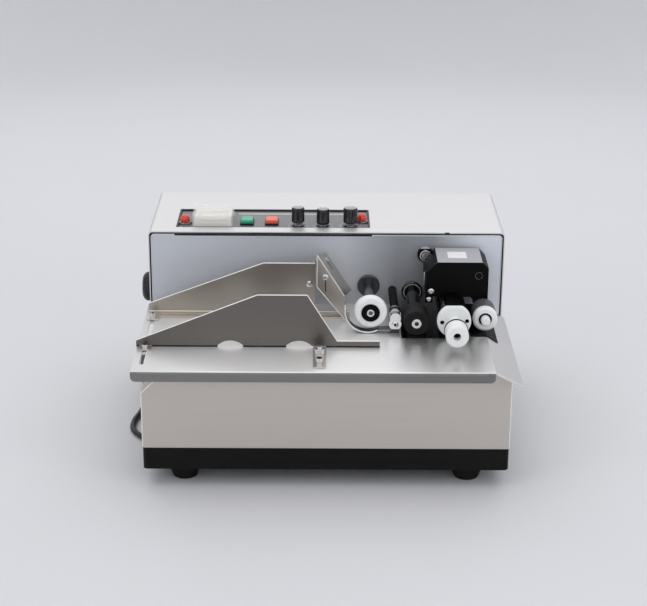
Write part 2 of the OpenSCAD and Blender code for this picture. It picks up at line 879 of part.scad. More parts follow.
module stop_blade() {
    s = blade_short + blade_screw_at;
    color("#a5a29d")
    difference() {
        union() {
            blade_frame()
                linear_extrude(guide_t)
                    polygon([[-s, blade_y], [blade_len - s, blade_y], [blade_tail - s, deck_d - gap],
                        [blade_short - s, deck_d - gap]]);
            along_y(blade_y, guide_t)
                difference() {
                    polygon([blade_top, blade_top + [blade_len * cos(blade_a), -blade_len * sin(blade_a)],
                        [20.5, table_z + 18], [20.5, table_z + 1], [blade_top[0], table_z + 39]]);
                    translate([-1, table_z + 50])
                        circle(screw_r);
                }
        }
        blade_frame()
            translate([0, blade_screw_y, -eps]) {
                translate([0, -screw_r - slide, 0])
                    cube([blade_travel, 2 * screw_r + 2 * slide, guide_t + 2 * eps]);
                for (x = [0, blade_travel])
                    translate([x, 0, 0])
                        cylinder(r = screw_r + slide, h = guide_t + 2 * eps);
            }
    }
}

module stop_bracket() {
    color("#8e8b87")
    difference() {
        union() {
            blade_frame()
                translate([0, 0, -gap / 2 - bracket_t])
                    linear_extrude(bracket_t)
                        polygon([[-bracket_in, deck_d - bracket_d], [bracket_w, deck_d - bracket_d],
                            [bracket_w, deck_d], [1, deck_d], [-bracket_in, deck_d - bracket_d / 2]]);
            intersection() {
                blade_frame()
                    translate([1, deck_d - bracket_t, -gap / 2 - bracket_t - bracket_foot])
                        cube([bracket_w - 1, bracket_t, bracket_foot + bracket_t]);
                translate([-base_w, 0, table_z])
                    cube([2 * base_w, body_d, housing_top]);
            }
        }
        blade_frame()
            translate([0, blade_screw_y, -20])
                cylinder(r = screw_r, h = 40);
    }
}

// Arc shoe under the separator roller, on its bracket and rod

shoe_at = sep_at + [-3, 3];
shoe_r = sep_r + 5.6;
shoe_t = 1.2;
shoe_end = 296;
block_x = [bolt_at[0] - 4, bolt_at[0] + 4];
lug_r = 6.5;

module arc_shoe() {
    tail_z = shoe_at[1] + (shoe_r + shoe_t) * sin(shoe_end);
    color("#d9d9da")
    along_y(shoe_y, shoe_w) {
        difference() {
            translate(shoe_at)
                circle(shoe_r + shoe_t);
            translate(shoe_at)
                circle(shoe_r);
            translate([shoe_at[0] - 2 * shoe_r, shoe_at[1]])
                square(4 * shoe_r);
            translate([shoe_at[0] + (shoe_r + shoe_t) * cos(shoe_end), 0])
                square(4 * shoe_r + table_z);
        }
        translate([shoe_at[0] - shoe_r - shoe_t, shoe_at[1] - 0.1])
            square([shoe_t, 7]);
        translate([shoe_at[0] + (shoe_r + shoe_t / 2) * cos(shoe_end) - 1, tail_z])
            square([block_x[0] - shoe_at[0] - (shoe_r + shoe_t / 2) * cos(shoe_end) + 1, shoe_t]);
    }
}

module shoe_bracket() {
    color("#cfcfd1")
    difference() {
        union() {
            along_y(shoe_y, shoe_w) {
                translate(bolt_at)
                    circle(lug_r);
                translate([block_x[0], table_z])
                    square([block_x[1] - block_x[0], bolt_at[1] - table_z]);
                translate(rod_at)
                    circle(rod_r + 1.6);
            }
            rod_y(rod_at[0], rod_at[1], shoe_y + shoe_w - eps, plate_back - shoe_y - shoe_w + eps, rod_r - 1);
            rod_y(rod_at[0], rod_at[1], shoe_y + shoe_w - eps, deck_d - shoe_y - shoe_w + eps, rod_r);
            rod_y(rod_at[0], rod_at[1], shoe_y + shoe_w - eps, 13, rod_r + 2.2);
        }
        rod_y(bolt_at[0], bolt_at[1], shoe_y - eps, bolt_len + eps, screw_r);
    }
}

// Bearings in the plate: flanged bushes for the drive shafts, plain bushes for the lower ones

flange_r = [12, 11.4, 12, 9.5];
flange_t = 4.5;

module bearing_flanges() {
    color("#1d1d20") {
        for (i = [0 : 3])
            turned_y(drive_shafts[i][0], drive_shafts[i][1], deck_d)
                polygon([[shaft_r + run, -flange_t], [flange_r[i] - 0.8, -flange_t],
                    [flange_r[i], 0.8 - flange_t], [flange_r[i], 0], [collar_r, 0], [collar_r, plate_t],
                    [shaft_r + run, plate_t]]);
        for (s = lower_shafts)
            rod_ring(s, deck_d, plate_t, lower_shaft_r + run, lower_collar_r);
    }
}

module rod_ring(at, y0, len, r0, r1) {
    turned_y(at[0], at[1], y0)
        translate([r0, 0])
            square([r1 - r0, len]);
}

// Drive shafts run from the rollers through the plate to the rear bearing plate

rear_bearing_y = deck_d + 53.5;
rear_bearing_t = 4;
shaft_end = rear_bearing_y + rear_bearing_t - 1;
pulley_r = 9;
belt_w = 6;
belt_y = [deck_d + 18, deck_d + 28, deck_d + 38];
pulley_edge = 1;

module pulley(at, k0, k1) {
    rod_y(at[0], at[1], belt_y[k0] - pulley_edge, belt_y[k1] + belt_w - belt_y[k0] + 2 * pulley_edge, pulley_r);
}

sep_reach = 86.5;
sep_y = deck_d - sep_reach;
sep_w = 10;
hub_r = 9.6;
sep_edge = 3.2;

module separator_tyre() {
    color("#f2f2f0")
    turned_y(sep_at[0], sep_at[1], sep_y)
        union() {
            translate([hub_r, 0])
                square([sep_r - sep_edge - hub_r, sep_w]);
            translate([hub_r, sep_edge])
                square([sep_r - hub_r, sep_w - 2 * sep_edge]);
            for (y = [sep_edge, sep_w - sep_edge])
                translate([sep_r - sep_edge, y])
                    circle(sep_edge);
        }
}

socket_r = 2.2;
hub_nose = 1;

module hub_socket(at, y0) {
    translate([at[0], y0 - eps, at[1]])
        rotate([-90, 0, 0])
            cylinder(r = socket_r, h = 3 + eps, $fn = 6);
}

module separator_shaft() {
    color("#26262a")
    difference() {
        union() {
            rod_y(sep_at[0], sep_at[1], sep_y - hub_nose, sep_w + hub_nose, hub_r);
            rod_y(sep_at[0], sep_at[1], sep_y + sep_w - eps, 22, shaft_r + 2.5);
            rod_y(sep_at[0], sep_at[1], sep_y, shaft_end - sep_y, shaft_r);
            pulley(sep_at, 1, 1);
        }
        hub_socket(sep_at, sep_y - hub_nose);
    }
}

feed_reach = 100.5;
feed_y = deck_d - feed_reach;
feed_core_r = 5.6;
feed_front = 19;
feed_rear = 11;
feed_step = 1.2;

module feed_tyres() {
    color("#1b1b1c") {
        rod_ring_soft(feed_at, feed_y, feed_front, feed_core_r, feed_r);
        rod_ring_soft(feed_at, feed_y + feed_front + feed_step, feed_rear, feed_core_r, feed_r - 0.4);
    }
}

module rod_ring_soft(at, y0, len, r0, r1) {
    turned_y(at[0], at[1], y0)
        polygon([[r0, 0], [r1 - 0.8, 0], [r1, 0.8], [r1, len - 0.8], [r1 - 0.8, len], [r0, len]]);
}

module feed_shaft() {
    feed_len = feed_front + feed_step + feed_rear;
    color("#3a3a3d")
    difference() {
        union() {
            rod_y(feed_at[0], feed_at[1], feed_y - hub_nose / 2, feed_len + hub_nose, feed_core_r);
            rod_y(feed_at[0], feed_at[1], feed_y, shaft_end - feed_y, shaft_r);
            rod_y(feed_at[0], feed_at[1], feed_y + feed_len, deck_d - flange_t - feed_y - feed_len - 14,
                shaft_r + 2);
            pulley(feed_at, 0, 1);
        }
        hub_socket(feed_at, feed_y - hub_nose / 2);
    }
}

lower_reach = 96.5;
lower_y = deck_d - lower_reach;
lower_len = 60;

module lower_roller(at) {
    turned_y(at[0], at[1], lower_y)
        polygon([[0, 0], [lower_r - 1, 0], [lower_r, 1], [lower_r, lower_len - 1], [lower_r - 1, lower_len],
            [0, lower_len]]);
    rod_y(at[0], at[1], lower_y + lower_len - eps, plate_back - 0.5 - lower_y - lower_len + eps, lower_shaft_r);
}

module lower_feed_roller() color("#1a1a1b") lower_roller(lower_feed_at);
module platen_roller() color("#2a2a2c") lower_roller(platen_at);

// Print unit: shaft, grooved type drum with one type bar, white cap with its front knob

cap_reach = 103.5;
cap_y = deck_d - cap_reach;
cap_t = 6;
grip_len = 44;
grip_w = 19;
neck_r = 6;
cap_hole_r = 2.2;
grip_y = cap_y - grip_len;
drum_gap = 9;
drum_neck_r = 7.5;
wall_room = 1.5;
drum_len = cap_reach - cap_t - flange_t - drum_gap;
type_groove = 2.4;
type_n = 12;
bar_w = 7;

module print_shaft() {
    color("#c4c4c6") {
        rod_y(print_at[0], print_at[1], cap_y + cap_t, shaft_end - cap_y - cap_t, shaft_r);
        pulley(print_at, 0, 2);
    }
}

module type_drum() {
    color("#1e1e20")
    difference() {
        union() {
            rod_y(print_at[0], print_at[1], cap_y + cap_t, drum_len, drum_r);
            along_y(cap_y + cap_t + 8, drum_len - 16)
                translate(print_at)
                    rotate(60)
                        translate([0, -bar_w / 2])
                            square([drum_r + 0.8, bar_w]);
        }
        for (i = [1 : type_n - 1])
            along_y(cap_y + cap_t + 6, drum_len - 12)
                translate(print_at)
                    rotate(60 + i * 360 / type_n)
                        translate([drum_r - 1.6, -type_groove / 2])
                            square([4, type_groove]);
        rod_y(print_at[0], print_at[1], cap_y, drum_len + 4 * cap_t, shaft_r);
        along_y(head_y[0] - wall_room, head_t + 2 * wall_room)
            translate(print_at)
                difference() {
                    circle(drum_r + 3);
                    circle(drum_neck_r);
                }
    }
}

cap_flat = 15.6;
cap_holes = [[-12.4, -1], [13.2, 0.6], [12, -6.4]];

module print_cap() {
    color("#f4f4f2")
    difference() {
        union() {
            intersection() {
                turned_y(print_at[0], print_at[1], cap_y)
                    polygon([[0, 0], [cap_r - 1.2, 0], [cap_r, 1.2], [cap_r, cap_t], [0, cap_t]]);
                translate([print_at[0] - 2 * cap_r, 0, print_at[1] - 2 * cap_r])
                    cube([4 * cap_r, body_d, 2 * cap_r + cap_flat]);
            }
            turned_y(print_at[0], print_at[1], grip_y)
                polygon([[0, 0], [grip_r - 1.2, 0], [grip_r, 1.2], [grip_r, grip_w - 1], [grip_r - 1, grip_w],
                    [neck_r, grip_w], [neck_r, grip_len + eps], [0, grip_len + eps]]);
        }
        rod_y(print_at[0], print_at[1], grip_y - eps, grip_w, 4);
        for (h = cap_holes)
            rod_y(print_at[0] + h[0], print_at[1] + h[1], cap_y - eps, cap_t, cap_hole_r);
    }
}

out_reach = 84.5;
out_y = deck_d - out_reach;
out_cap_t = 7;
out_len = 30;
out_nose_r = 7;
out_nose = 9;

module delivery_shaft() {
    color("#55565a") {
        rod_y(out_at[0], out_at[1], out_y + out_cap_t, out_len - out_cap_t, out_r - 0.4);
        rod_y(out_at[0], out_at[1], out_y + out_cap_t, shaft_end - out_y - out_cap_t, shaft_r);
        pulley(out_at, 1, 1);
    }
}

module delivery_cap() {
    color("#f0f0ee")
    turned_y(out_at[0], out_at[1], out_y)
        polygon([[0, -out_nose + 2], [3.6, -out_nose + 2], [4.8, -out_nose + 3], [4.8, 2],
            [out_nose_r, 2], [out_nose_r, 0.4], [out_r - 2, 0], [out_r, 1.8], [out_r, out_cap_t], [0, out_cap_t]]);
}

deflector_t = 0.8;
deflector_x = opening_x1 + 2;
deflector_reach = 11;
deflector_y = deck_d - 96.5;
deflector_tip = 5;

module exit_deflector() {
    edge_x = fold_x + 2 * deflector_reach;
    color("#121213")
    intersection() {
        along_y(deflector_y - deflector_tip, deck_d - deflector_y + deflector_tip)
            folded_sheet(deflector_x, deflector_reach, deflector_t);
        linear_extrude(2 * table_z)
            polygon([[deflector_x - eps, deflector_y], [fold_x, deflector_y],
                [fold_x + deflector_reach, deflector_y - deflector_tip], [edge_x, deflector_y - deflector_tip],
                [edge_x, deck_d + eps], [deflector_x - eps, deck_d + eps]]);
    }
}

// Print head: bracket and cover swing up together on a pivot stud, with the ink roller inside

head_x = [print_x - 27, print_x + 39];
head_z = [table_z + 28, table_z + 66.5];
head_y = [deck_d - 52.5, deck_d - 7];
head_ch_left = 12.3;
head_ch_right = 7;
head_skirt = 7;
skirt_w = 16;
bracket_y = head_y[1];
head_plate_t = 3;
ear_r = 8.5;
ring_r = 6.2;
ring_t = 4;
ink_at = head_base + [4, 49];
ink_shaft_r = 4;
ink_end = 5;
ink_y = head_y[0] + head_t + ink_end;
ink_len = bracket_y - ink_end - ink_y;

module head_outline(i) {
    polygon([[head_x[0] + i, head_z[0]], [head_x[0] + i, head_z[1] - head_ch_left - shoulder_side(i, 45)],
        [head_x[0] + head_ch_left + shoulder_top(i, 45), head_z[1] - i],
        [head_x[1] - head_ch_right - shoulder_top(i, 45), head_z[1] - i],
        [head_x[1] - i, head_z[1] - head_ch_right - shoulder_side(i, 45)], [head_x[1] - i, head_z[0]]]);
}

module head_pivot() {
    color("#c8c8ca") {
        rod_y(pivot_at[0], pivot_at[1], bracket_y + head_plate_t + gap, deck_d - bracket_y - head_plate_t - gap,
            ring_r);
        rod_y(pivot_at[0], pivot_at[1], bracket_y - gap - ring_t, plate_back - bracket_y + gap + ring_t, pivot_r - 1);
        rod_y(pivot_at[0], pivot_at[1], bracket_y - gap - ring_t, deck_d - bracket_y + gap + ring_t, pivot_r);
        difference() {
            rod_y(pivot_at[0], pivot_at[1], bracket_y - gap - ring_t, ring_t, ring_r);
            rod_y(pivot_at[0], pivot_at[1], bracket_y - gap - ring_t - eps, 1 + eps, ring_r - 1.6);
        }
    }
}

module head_bracket() {
    color("#18181a")
    difference() {
        union() {
            along_y(bracket_y, head_plate_t) {
                intersection() {
                    head_outline(0);
                    translate([0, print_at[1] + drum_r + 1])
                        square(2 * base_w);
                }
                translate(pivot_at)
                    circle(ear_r);
            }
            rod_y(ink_at[0], ink_at[1], ink_y - 2, bracket_y - ink_y + 2 + eps, ink_shaft_r);
        }
        rod_y(pivot_at[0], pivot_at[1], bracket_y - eps, head_plate_t + 2 * eps, pivot_r + run);
    }
}

hex_at = head_base + [28.7, 52];
head_screw_at = head_base + [-21.3, 33.8];

module head_cover() {
    color("#141416")
    difference() {
        union() {
            difference() {
                along_y(head_y[0], head_y[1] - head_y[0]) head_outline(0);
                along_y(head_y[0] + head_t, head_y[1])
                    union() {
                        head_outline(head_t);
                        translate([head_x[0] + head_t, head_z[0] - eps])
                            square([head_x[1] - head_x[0] - 2 * head_t, 2 * eps]);
                    }
            }
            translate([head_x[1] - skirt_w, head_y[0], head_z[0] - head_skirt])
                cube([skirt_w, head_t, head_skirt + eps]);
            translate([head_x[1] - head_t, head_y[0], head_z[0] - head_skirt])
                cube([head_t, head_y[1] - head_y[0], head_skirt + eps]);
        }
        rod_y(pivot_at[0], pivot_at[1], head_y[1] - ring_t - 3 * gap, ring_t + 4 * gap, ring_r + 2 * gap);
        for (s = [hex_at, head_screw_at])
            rod_y(s[0], s[1], head_y[0] - eps, head_t + 2 * eps, screw_r);
    }
}

module head_screws() {
    color("#bdbdbf") {
        translate([head_screw_at[0], head_y[0], head_screw_at[1]])
            rotate([90, 0, 0])
                pan_screw(screw_r, head_t + 1);
        translate([hex_at[0], head_y[0], hex_at[1]])
            rotate([90, 0, 0]) {
                translate([0, 0, -head_t - 1])
                    cylinder(r = screw_r - run, h = head_t + 1);
                difference() {
                    cylinder(r = 3.8, h = 1.6);
                    translate([0, 0, 0.6])
                        cylinder(r = 2, h = 2, $fn = 6);
                }
            }
    }
}

module ink_roller() {
    color("#0d0d0e")
    turned_y(ink_at[0], ink_at[1], ink_y)
        polygon([[ink_shaft_r + run, 0], [ink_r - 1, 0], [ink_r, 1], [ink_r, ink_len - 1], [ink_r - 1, ink_len],
            [ink_shaft_r + run, ink_len]]);
}

// Drive inside the housing: rear bearing plate, motor, pulleys and belts

motor_at = head_base + [18, 49];
motor_r = 25;
motor_len = 74;
motor_shaft_r = 3;
bearing_plate_x = [print_x - 100, print_x + 52];

module rear_bearing_plate() {
    color("#a9abae")
    difference() {
        union() {
            translate([bearing_plate_x[0], rear_bearing_y, z_pan])
                cube([bearing_plate_x[1] - bearing_plate_x[0], rear_bearing_t, board_z - 2 * gap - z_pan]);
            translate([bearing_plate_x[0], rear_bearing_y - 8, z_pan])
                cube([bearing_plate_x[1] - bearing_plate_x[0], 8 + eps, 3]);
        }
        for (s = drive_shafts)
            rod_y(s[0], s[1], rear_bearing_y - eps, rear_bearing_t + 2 * eps, shaft_r + run);
        rod_y(motor_at[0], motor_at[1], rear_bearing_y - eps, rear_bearing_t + 2 * eps, motor_shaft_r + 1);
    }
}

module main_motor() {
    color("#2c2d30")
    difference() {
        union() {
            turned_y(motor_at[0], motor_at[1], rear_bearing_y + rear_bearing_t)
                polygon([[0, 0], [motor_r - 3, 0], [motor_r - 3, 20], [motor_r, 20], [motor_r, motor_len - 2],
                    [motor_r - 2, motor_len], [0, motor_len]]);
        }
        rod_y(motor_at[0], motor_at[1], rear_bearing_y, rear_bearing_t + 10, motor_shaft_r + run);
    }
}

module motor_pulley() {
    color("#77787b") {
        pulley(motor_at, 2, 2);
        rod_y(motor_at[0], motor_at[1], belt_y[2], rear_bearing_y + rear_bearing_t + 9 - belt_y[2], motor_shaft_r);
    }
}

belt_t = 1.5;
belt_gap = 0.3;

// A flat belt round two equal pulleys
module belt(a, b, y0) {
    d = b - a;
    along_y(y0, belt_w)
        translate(a)
            rotate(atan2(d[1], d[0]))
                difference() {
                    belt_loop(norm(d), pulley_r + belt_gap + belt_t);
                    belt_loop(norm(d), pulley_r + belt_gap);
                }
}

module belt_loop(len, r) {
    circle(r);
    translate([0, -r])
        square([len, 2 * r]);
    translate([len, 0])
        circle(r);
}

module drive_belts() {
    color("#202022") {
        belt(feed_at, print_at, belt_y[0]);
        belt(sep_at, feed_at, belt_y[1]);
        belt(print_at, out_at, belt_y[1]);
        belt(print_at, motor_at, belt_y[2]);
    }
}

// Electrics inside the housing: control board under the panel, transformer on the tray floor

board_t = 1.6;
board_z = panel_z - panel_t - ledge - 14;
post_r = 3;

module control_board() {
    color("#1e5b38") {
        translate([panel_x - well_w / 2, well_y0, board_z])
            cube([well_w, well_d, board_t]);
        for (sx = [-1, 1], sy = [-1, 1])
            translate([panel_x + sx * (well_w / 2 - post_r), panel_y + sy * (well_d / 2 - post_r), board_z])
                cylinder(r = post_r, h = panel_z - panel_t - ledge - board_z);
        for (x = [-60, -25, 15, 60])
            translate([panel_x + x, panel_y + 6, board_z - 12])
                cube([18, 14, 12 + eps / 2]);
    }
}

core_w = 62;
core_d = 46;
core_h = 52;

module transformer() {
    color("#6d4a2c")
    translate([-90, body_d - 90, z_floor]) {
        translate([-core_w / 2, -core_d / 2, 0])
            cube([core_w, core_d, core_h]);
        translate([-core_w / 2 + 12, -core_d / 2 - 9, 9])
            cube([core_w - 24, core_d + 18, core_h - 18]);
        translate([-core_w / 2 - 10, -core_d / 2 + 8, 0])
            cube([core_w + 20, core_d - 16, 3]);
    }
}

// Mains lead: strain relief in the tray's rear wall, a free run along the floor, a tied coil and a plug

relief_len = 30;
cord_r = cord_d / 2;
relief_end = body_d + relief_len;

module cord_gland() {
    color("#111112")
    turned_y(gland_x, gland_z, body_d)
        polygon([[0, -tray_t - 3], [gland_r + 0.5, -tray_t - 3], [gland_r + 0.5, -tray_t], [gland_r - 2, -tray_t],
            [gland_r - 2, 0], [gland_r + 1.5, 0], [gland_r + 1.5, 3], [gland_r - 0.5, 4], [cord_r + 1, relief_len],
            [0, relief_len]]);
}

function unit(v) = v / norm(v);
function side_of(t) = unit(cross(t, [0, 0, 1]));
function tangent(p, i) = unit(p[min(i + 1, len(p) - 1)] - p[max(i - 1, 0)]);
function ring(c, t, r, n) = let(s = side_of(t), u = cross(s, t))
    [for (k = [0 : n - 1]) c + r * (cos(360 * k / n) * s + sin(360 * k / n) * u)];

// A tube of n sides swept along the points p, closed at both ends
module tube(p, r, n) {
    last = len(p) - 1;
    points = [for (i = [0 : last]) each ring(p[i], tangent(p, i), r, n)];
    walls = [for (i = [0 : last - 1], k = [0 : n - 1]) let(a = i * n + k, b = i * n + (k + 1) % n)
        each [[a, b, a + n], [b, b + n, a + n]]];
    ends = [for (k = [1 : n - 2]) each [[0, k + 1, k], [last * n, last * n + k, last * n + k + 1]]];
    polyhedron(points, concat(walls, ends));
}

// A smooth curve through the points, with m steps in each stretch
function blend(a, b, c, d, t) = 0.5 * (2 * b + (c - a) * t + (2 * a - 5 * b + 4 * c - d) * t * t
    + (3 * b - a - 3 * c + d) * t * t * t);
function smooth_path(p, m) = let(last = len(p) - 1)
    concat([for (i = [0 : last - 1], k = [0 : m - 1])
        blend(p[max(i - 1, 0)], p[i], p[i + 1], p[min(i + 2, last)], k / m)], [p[last]]);

// Coil: two layers, spiralling in below and out again above, then straight into the plug
tie_t = 0.9;
coil_pitch = cord_d + 0.8;
coil_z = cord_r + tie_t + 0.3;
coil_R = 44;
coil_x = -67;
coil_y = 392;
coil_steps = 24;
climb_turns = 0.5;
climb_dip = 1.2;
upper_turns = coil_turns - 0.25;
coil_in = coil_R - coil_turns * coil_pitch;
tail_x = -16;

function coil_point(n) = let(
        climb = min(max((n - coil_turns) / climb_turns, 0), 1),
        out = max(n - coil_turns - climb_turns, 0),
        r = n < coil_turns ? coil_R - n * coil_pitch : coil_in + out * coil_pitch - climb_dip * sin(180 * climb),
        a = 180 - 360 * n)
    [coil_x + r * cos(a), coil_y + r * sin(a), coil_z + coil_pitch * climb];

coil_total = coil_turns + climb_turns + upper_turns;
coil_exit = coil_point(coil_total);
coil_path = concat(
    [[coil_x - coil_R, coil_y - 2 * cord_d, coil_z], [coil_x - coil_R, coil_y - cord_d, coil_z]],
    [for (i = [0 : coil_total * coil_steps]) coil_point(i / coil_steps)],
    [for (x = [coil_exit[0] + 14 : 12 : tail_x - 8]) [x, coil_exit[1], coil_exit[2]]],
    [[tail_x - cord_d, coil_exit[1], coil_exit[2]], [tail_x, coil_exit[1], coil_exit[2]]]);

far = coil_steps / 3;
least_gap = min([for (i = [0 : len(coil_path) - 1], j = [i + far : 1 : len(coil_path) - 1])
    norm(coil_path[i] - coil_path[j])]) - cord_d;
echo(least_gap_of_coil = least_gap);

// Hand-chosen points of the free run, from the strain relief to the coil
run_end = coil_path[0];
cord_route = [[gland_x, relief_end, gland_z], [-150, 376, 32], [-152, 392, 25], [-158, 408, 13], [-172, 419, 6],
    [-192, 420, 3.6], [-210, 409, 3.2], [-219, 390, 3.2], [-220, 360, 3.2], [-219, 330, 3.2],
    [-216, 300, 3.2], [-211, 270, 3.2], [-207, 240, 3.2], [-204, 212, 3.2], [-206, 182, 3.2],
    [-211, 154, 3.2], [-209, 130, 3.2], [-194, 109, 3.2], [-172, 102, 3.2], [-152, 109, 3.2],
    [-138, 126, 3.2], [-131, 150, 3.2], [-125, 180, 3.2], [-119, 212, 3.2], [-114, 246, 3.2],
    [-111, 280, 3.2], [-110, 314, 3.2], [-110, 344, 3.2], [-111, 364, 3.6], run_end];

module cord_run() color("#0e0e0f") tube(smooth_path(cord_route, 2), cord_r, 8);
module cord_coil() color("#0e0e0f") tube(coil_path, cord_r, 6);

tie_w = 7;
tie_gap = 0.3;

module cord_tie() {
    inner = coil_in - climb_dip - cord_r - tie_gap;
    outer = coil_R + cord_r + tie_gap;
    top = coil_z + coil_pitch + cord_r + tie_gap;
    color("#17171a")
    translate([coil_x - tie_w / 2, coil_y - outer - tie_t, 0])
        difference() {
            cube([tie_w, outer - inner + 2 * tie_t, top + tie_t]);
            translate([-eps, tie_t, tie_t])
                cube([tie_w + 2 * eps, outer - inner, top - tie_t]);
        }
}

plug_r = 10.5;
plug_len = 30;
plug_neck = 18;
prong_r = 2.3;
prong_len = 19;
prong_span = 12.4;

module mains_plug() {
    color("#121213")
    translate([tail_x, coil_exit[1], coil_exit[2]])
        rotate([0, 90, 0]) {
            rotate_extrude()
                polygon([[0, 0], [cord_r + 1, 0], [cord_r + 2.5, plug_neck], [plug_r - 1.5, plug_neck + 4],
                    [plug_r, plug_neck + 7], [plug_r, plug_neck + plug_len - 1.5],
                    [plug_r - 1.5, plug_neck + plug_len], [0, plug_neck + plug_len]]);
            for (s = [-1, 1])
                translate([0, s * prong_span / 2, plug_neck + plug_len - eps]) {
                    cylinder(r = prong_r, h = prong_len - prong_r + eps);
                    translate([0, 0, prong_len - prong_r + eps])
                        cylinder(r1 = prong_r, r2 = prong_r * 0.6, h = prong_r);
                }
        }
}

place() base_tray();
place() rubber_feet();
place() lower_casing();
place() housing_cover();
place() housing_pan();
place() front_plate();
place() plate_gasket();
place() rear_panel();
place() fixing_screws();
place() panel_well();
place() control_panel();
place() button_bezels();
place() indicator_lamps();
place() counter_body();
place() counter_cover();
place() start_button();
place() stop_button();
place() temperature_knob();
place() feed_knob();
place() print_knob();
place() side_knob();
place() work_table();
place() front_guide();
place() front_guide_clamps();
place() rear_guide();
place() rear_guide_clamps();
place() stop_bracket();
place() stop_blade();
place() arc_shoe();
place() shoe_bracket();
place() bearing_flanges();
place() separator_tyre();
place() separator_shaft();
place() feed_tyres();
place() feed_shaft();
place() lower_feed_roller();
place() platen_roller();
place() print_shaft();
place() type_drum();
place() print_cap();
place() delivery_shaft();
place() delivery_cap();
place() exit_deflector();
place() head_pivot();
place() head_bracket();
place() head_cover();
place() head_screws();
place() ink_roller();
place() rear_bearing_plate();
place() main_motor();
place() motor_pulley();
place() drive_belts();
place() control_board();
place() transformer();
place() cord_gland();
place() cord_run();
place() cord_coil();
place() cord_tie();
place() mains_plug();
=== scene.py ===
"""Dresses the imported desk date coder: finishes, small fittings, mains lead, floor, light and camera."""
import json
import logging
import math
from dataclasses import dataclass
from enum import Enum
from typing import Iterable, Optional, Protocol, Sequence, Union

import bmesh
import bpy
from mathutils import Matrix, Vector


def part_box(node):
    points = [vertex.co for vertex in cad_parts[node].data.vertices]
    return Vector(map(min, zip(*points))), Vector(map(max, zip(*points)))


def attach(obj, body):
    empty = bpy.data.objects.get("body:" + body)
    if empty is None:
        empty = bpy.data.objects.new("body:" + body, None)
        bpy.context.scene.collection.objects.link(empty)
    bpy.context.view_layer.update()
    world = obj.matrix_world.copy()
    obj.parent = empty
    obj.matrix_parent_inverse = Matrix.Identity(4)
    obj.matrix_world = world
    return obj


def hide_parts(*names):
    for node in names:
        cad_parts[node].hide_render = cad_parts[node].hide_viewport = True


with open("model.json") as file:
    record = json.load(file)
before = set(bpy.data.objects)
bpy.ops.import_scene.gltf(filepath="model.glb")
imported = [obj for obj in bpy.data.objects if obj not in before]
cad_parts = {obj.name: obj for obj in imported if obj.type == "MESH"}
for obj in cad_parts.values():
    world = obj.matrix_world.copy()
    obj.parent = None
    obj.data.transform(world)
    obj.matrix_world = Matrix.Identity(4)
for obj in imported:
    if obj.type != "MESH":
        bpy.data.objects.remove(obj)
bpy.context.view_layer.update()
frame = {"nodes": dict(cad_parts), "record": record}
LOG = logging.getLogger("date_coder")
MM = 0.001
# From the CAD origin to the frame's, in millimetres
SHIFT = Vector((3.85, -161.3, 0.0))
# Points closer than this are merged, in a copy of a CAD mesh and in a spun shape
CAD_WELD = 0.002 * MM
SPIN_WELD = 0.001 * MM
# Neighbours in a CAD mesh that turn less than this are one flat face
FLAT_DEG = 0.5
BODY_OF = {node: body for body, nodes in frame["record"]["behaviour"]["bodies"].items() for node in nodes}

Point = tuple[float, float, float]
Profile = tuple[tuple[float, float], ...]


def at(x: float, y: float, z: float) -> Vector:
    """Turns a place on the machine, in CAD millimetres, into the frame, in metres."""
    return (Vector((x, y, z)) + SHIFT) * MM


# Shader tools


class Value:
    """A number that comes out of a node: arithmetic on it adds Math nodes."""

    def __init__(self, shade: "Shade", socket: bpy.types.NodeSocket) -> None:
        """Keeps the material's builder and the node's output."""
        self.shade = shade
        self.socket = socket

    def _math(self, operation: str, first: object, second: object) -> "Value":
        """Adds one Math node for an operation on two values or numbers."""
        return self.shade.node("ShaderNodeMath", {"operation": operation}, {0: first, 1: second})

    def __add__(self, other: object) -> "Value":
        """Sum."""
        return self._math("ADD", self, other)

    def __radd__(self, other: object) -> "Value":
        """Sum, with the number first."""
        return self._math("ADD", other, self)

    def __sub__(self, other: object) -> "Value":
        """Difference."""
        return self._math("SUBTRACT", self, other)

    def __rsub__(self, other: object) -> "Value":
        """Difference, with the number first."""
        return self._math("SUBTRACT", other, self)

    def __mul__(self, other: object) -> "Value":
        """Product."""
        return self._math("MULTIPLY", self, other)

    def __rmul__(self, other: object) -> "Value":
        """Product, with the number first."""
        return self._math("MULTIPLY", other, self)


Colour = tuple[float, float, float]
Input = Union[Value, float, Sequence[float]]


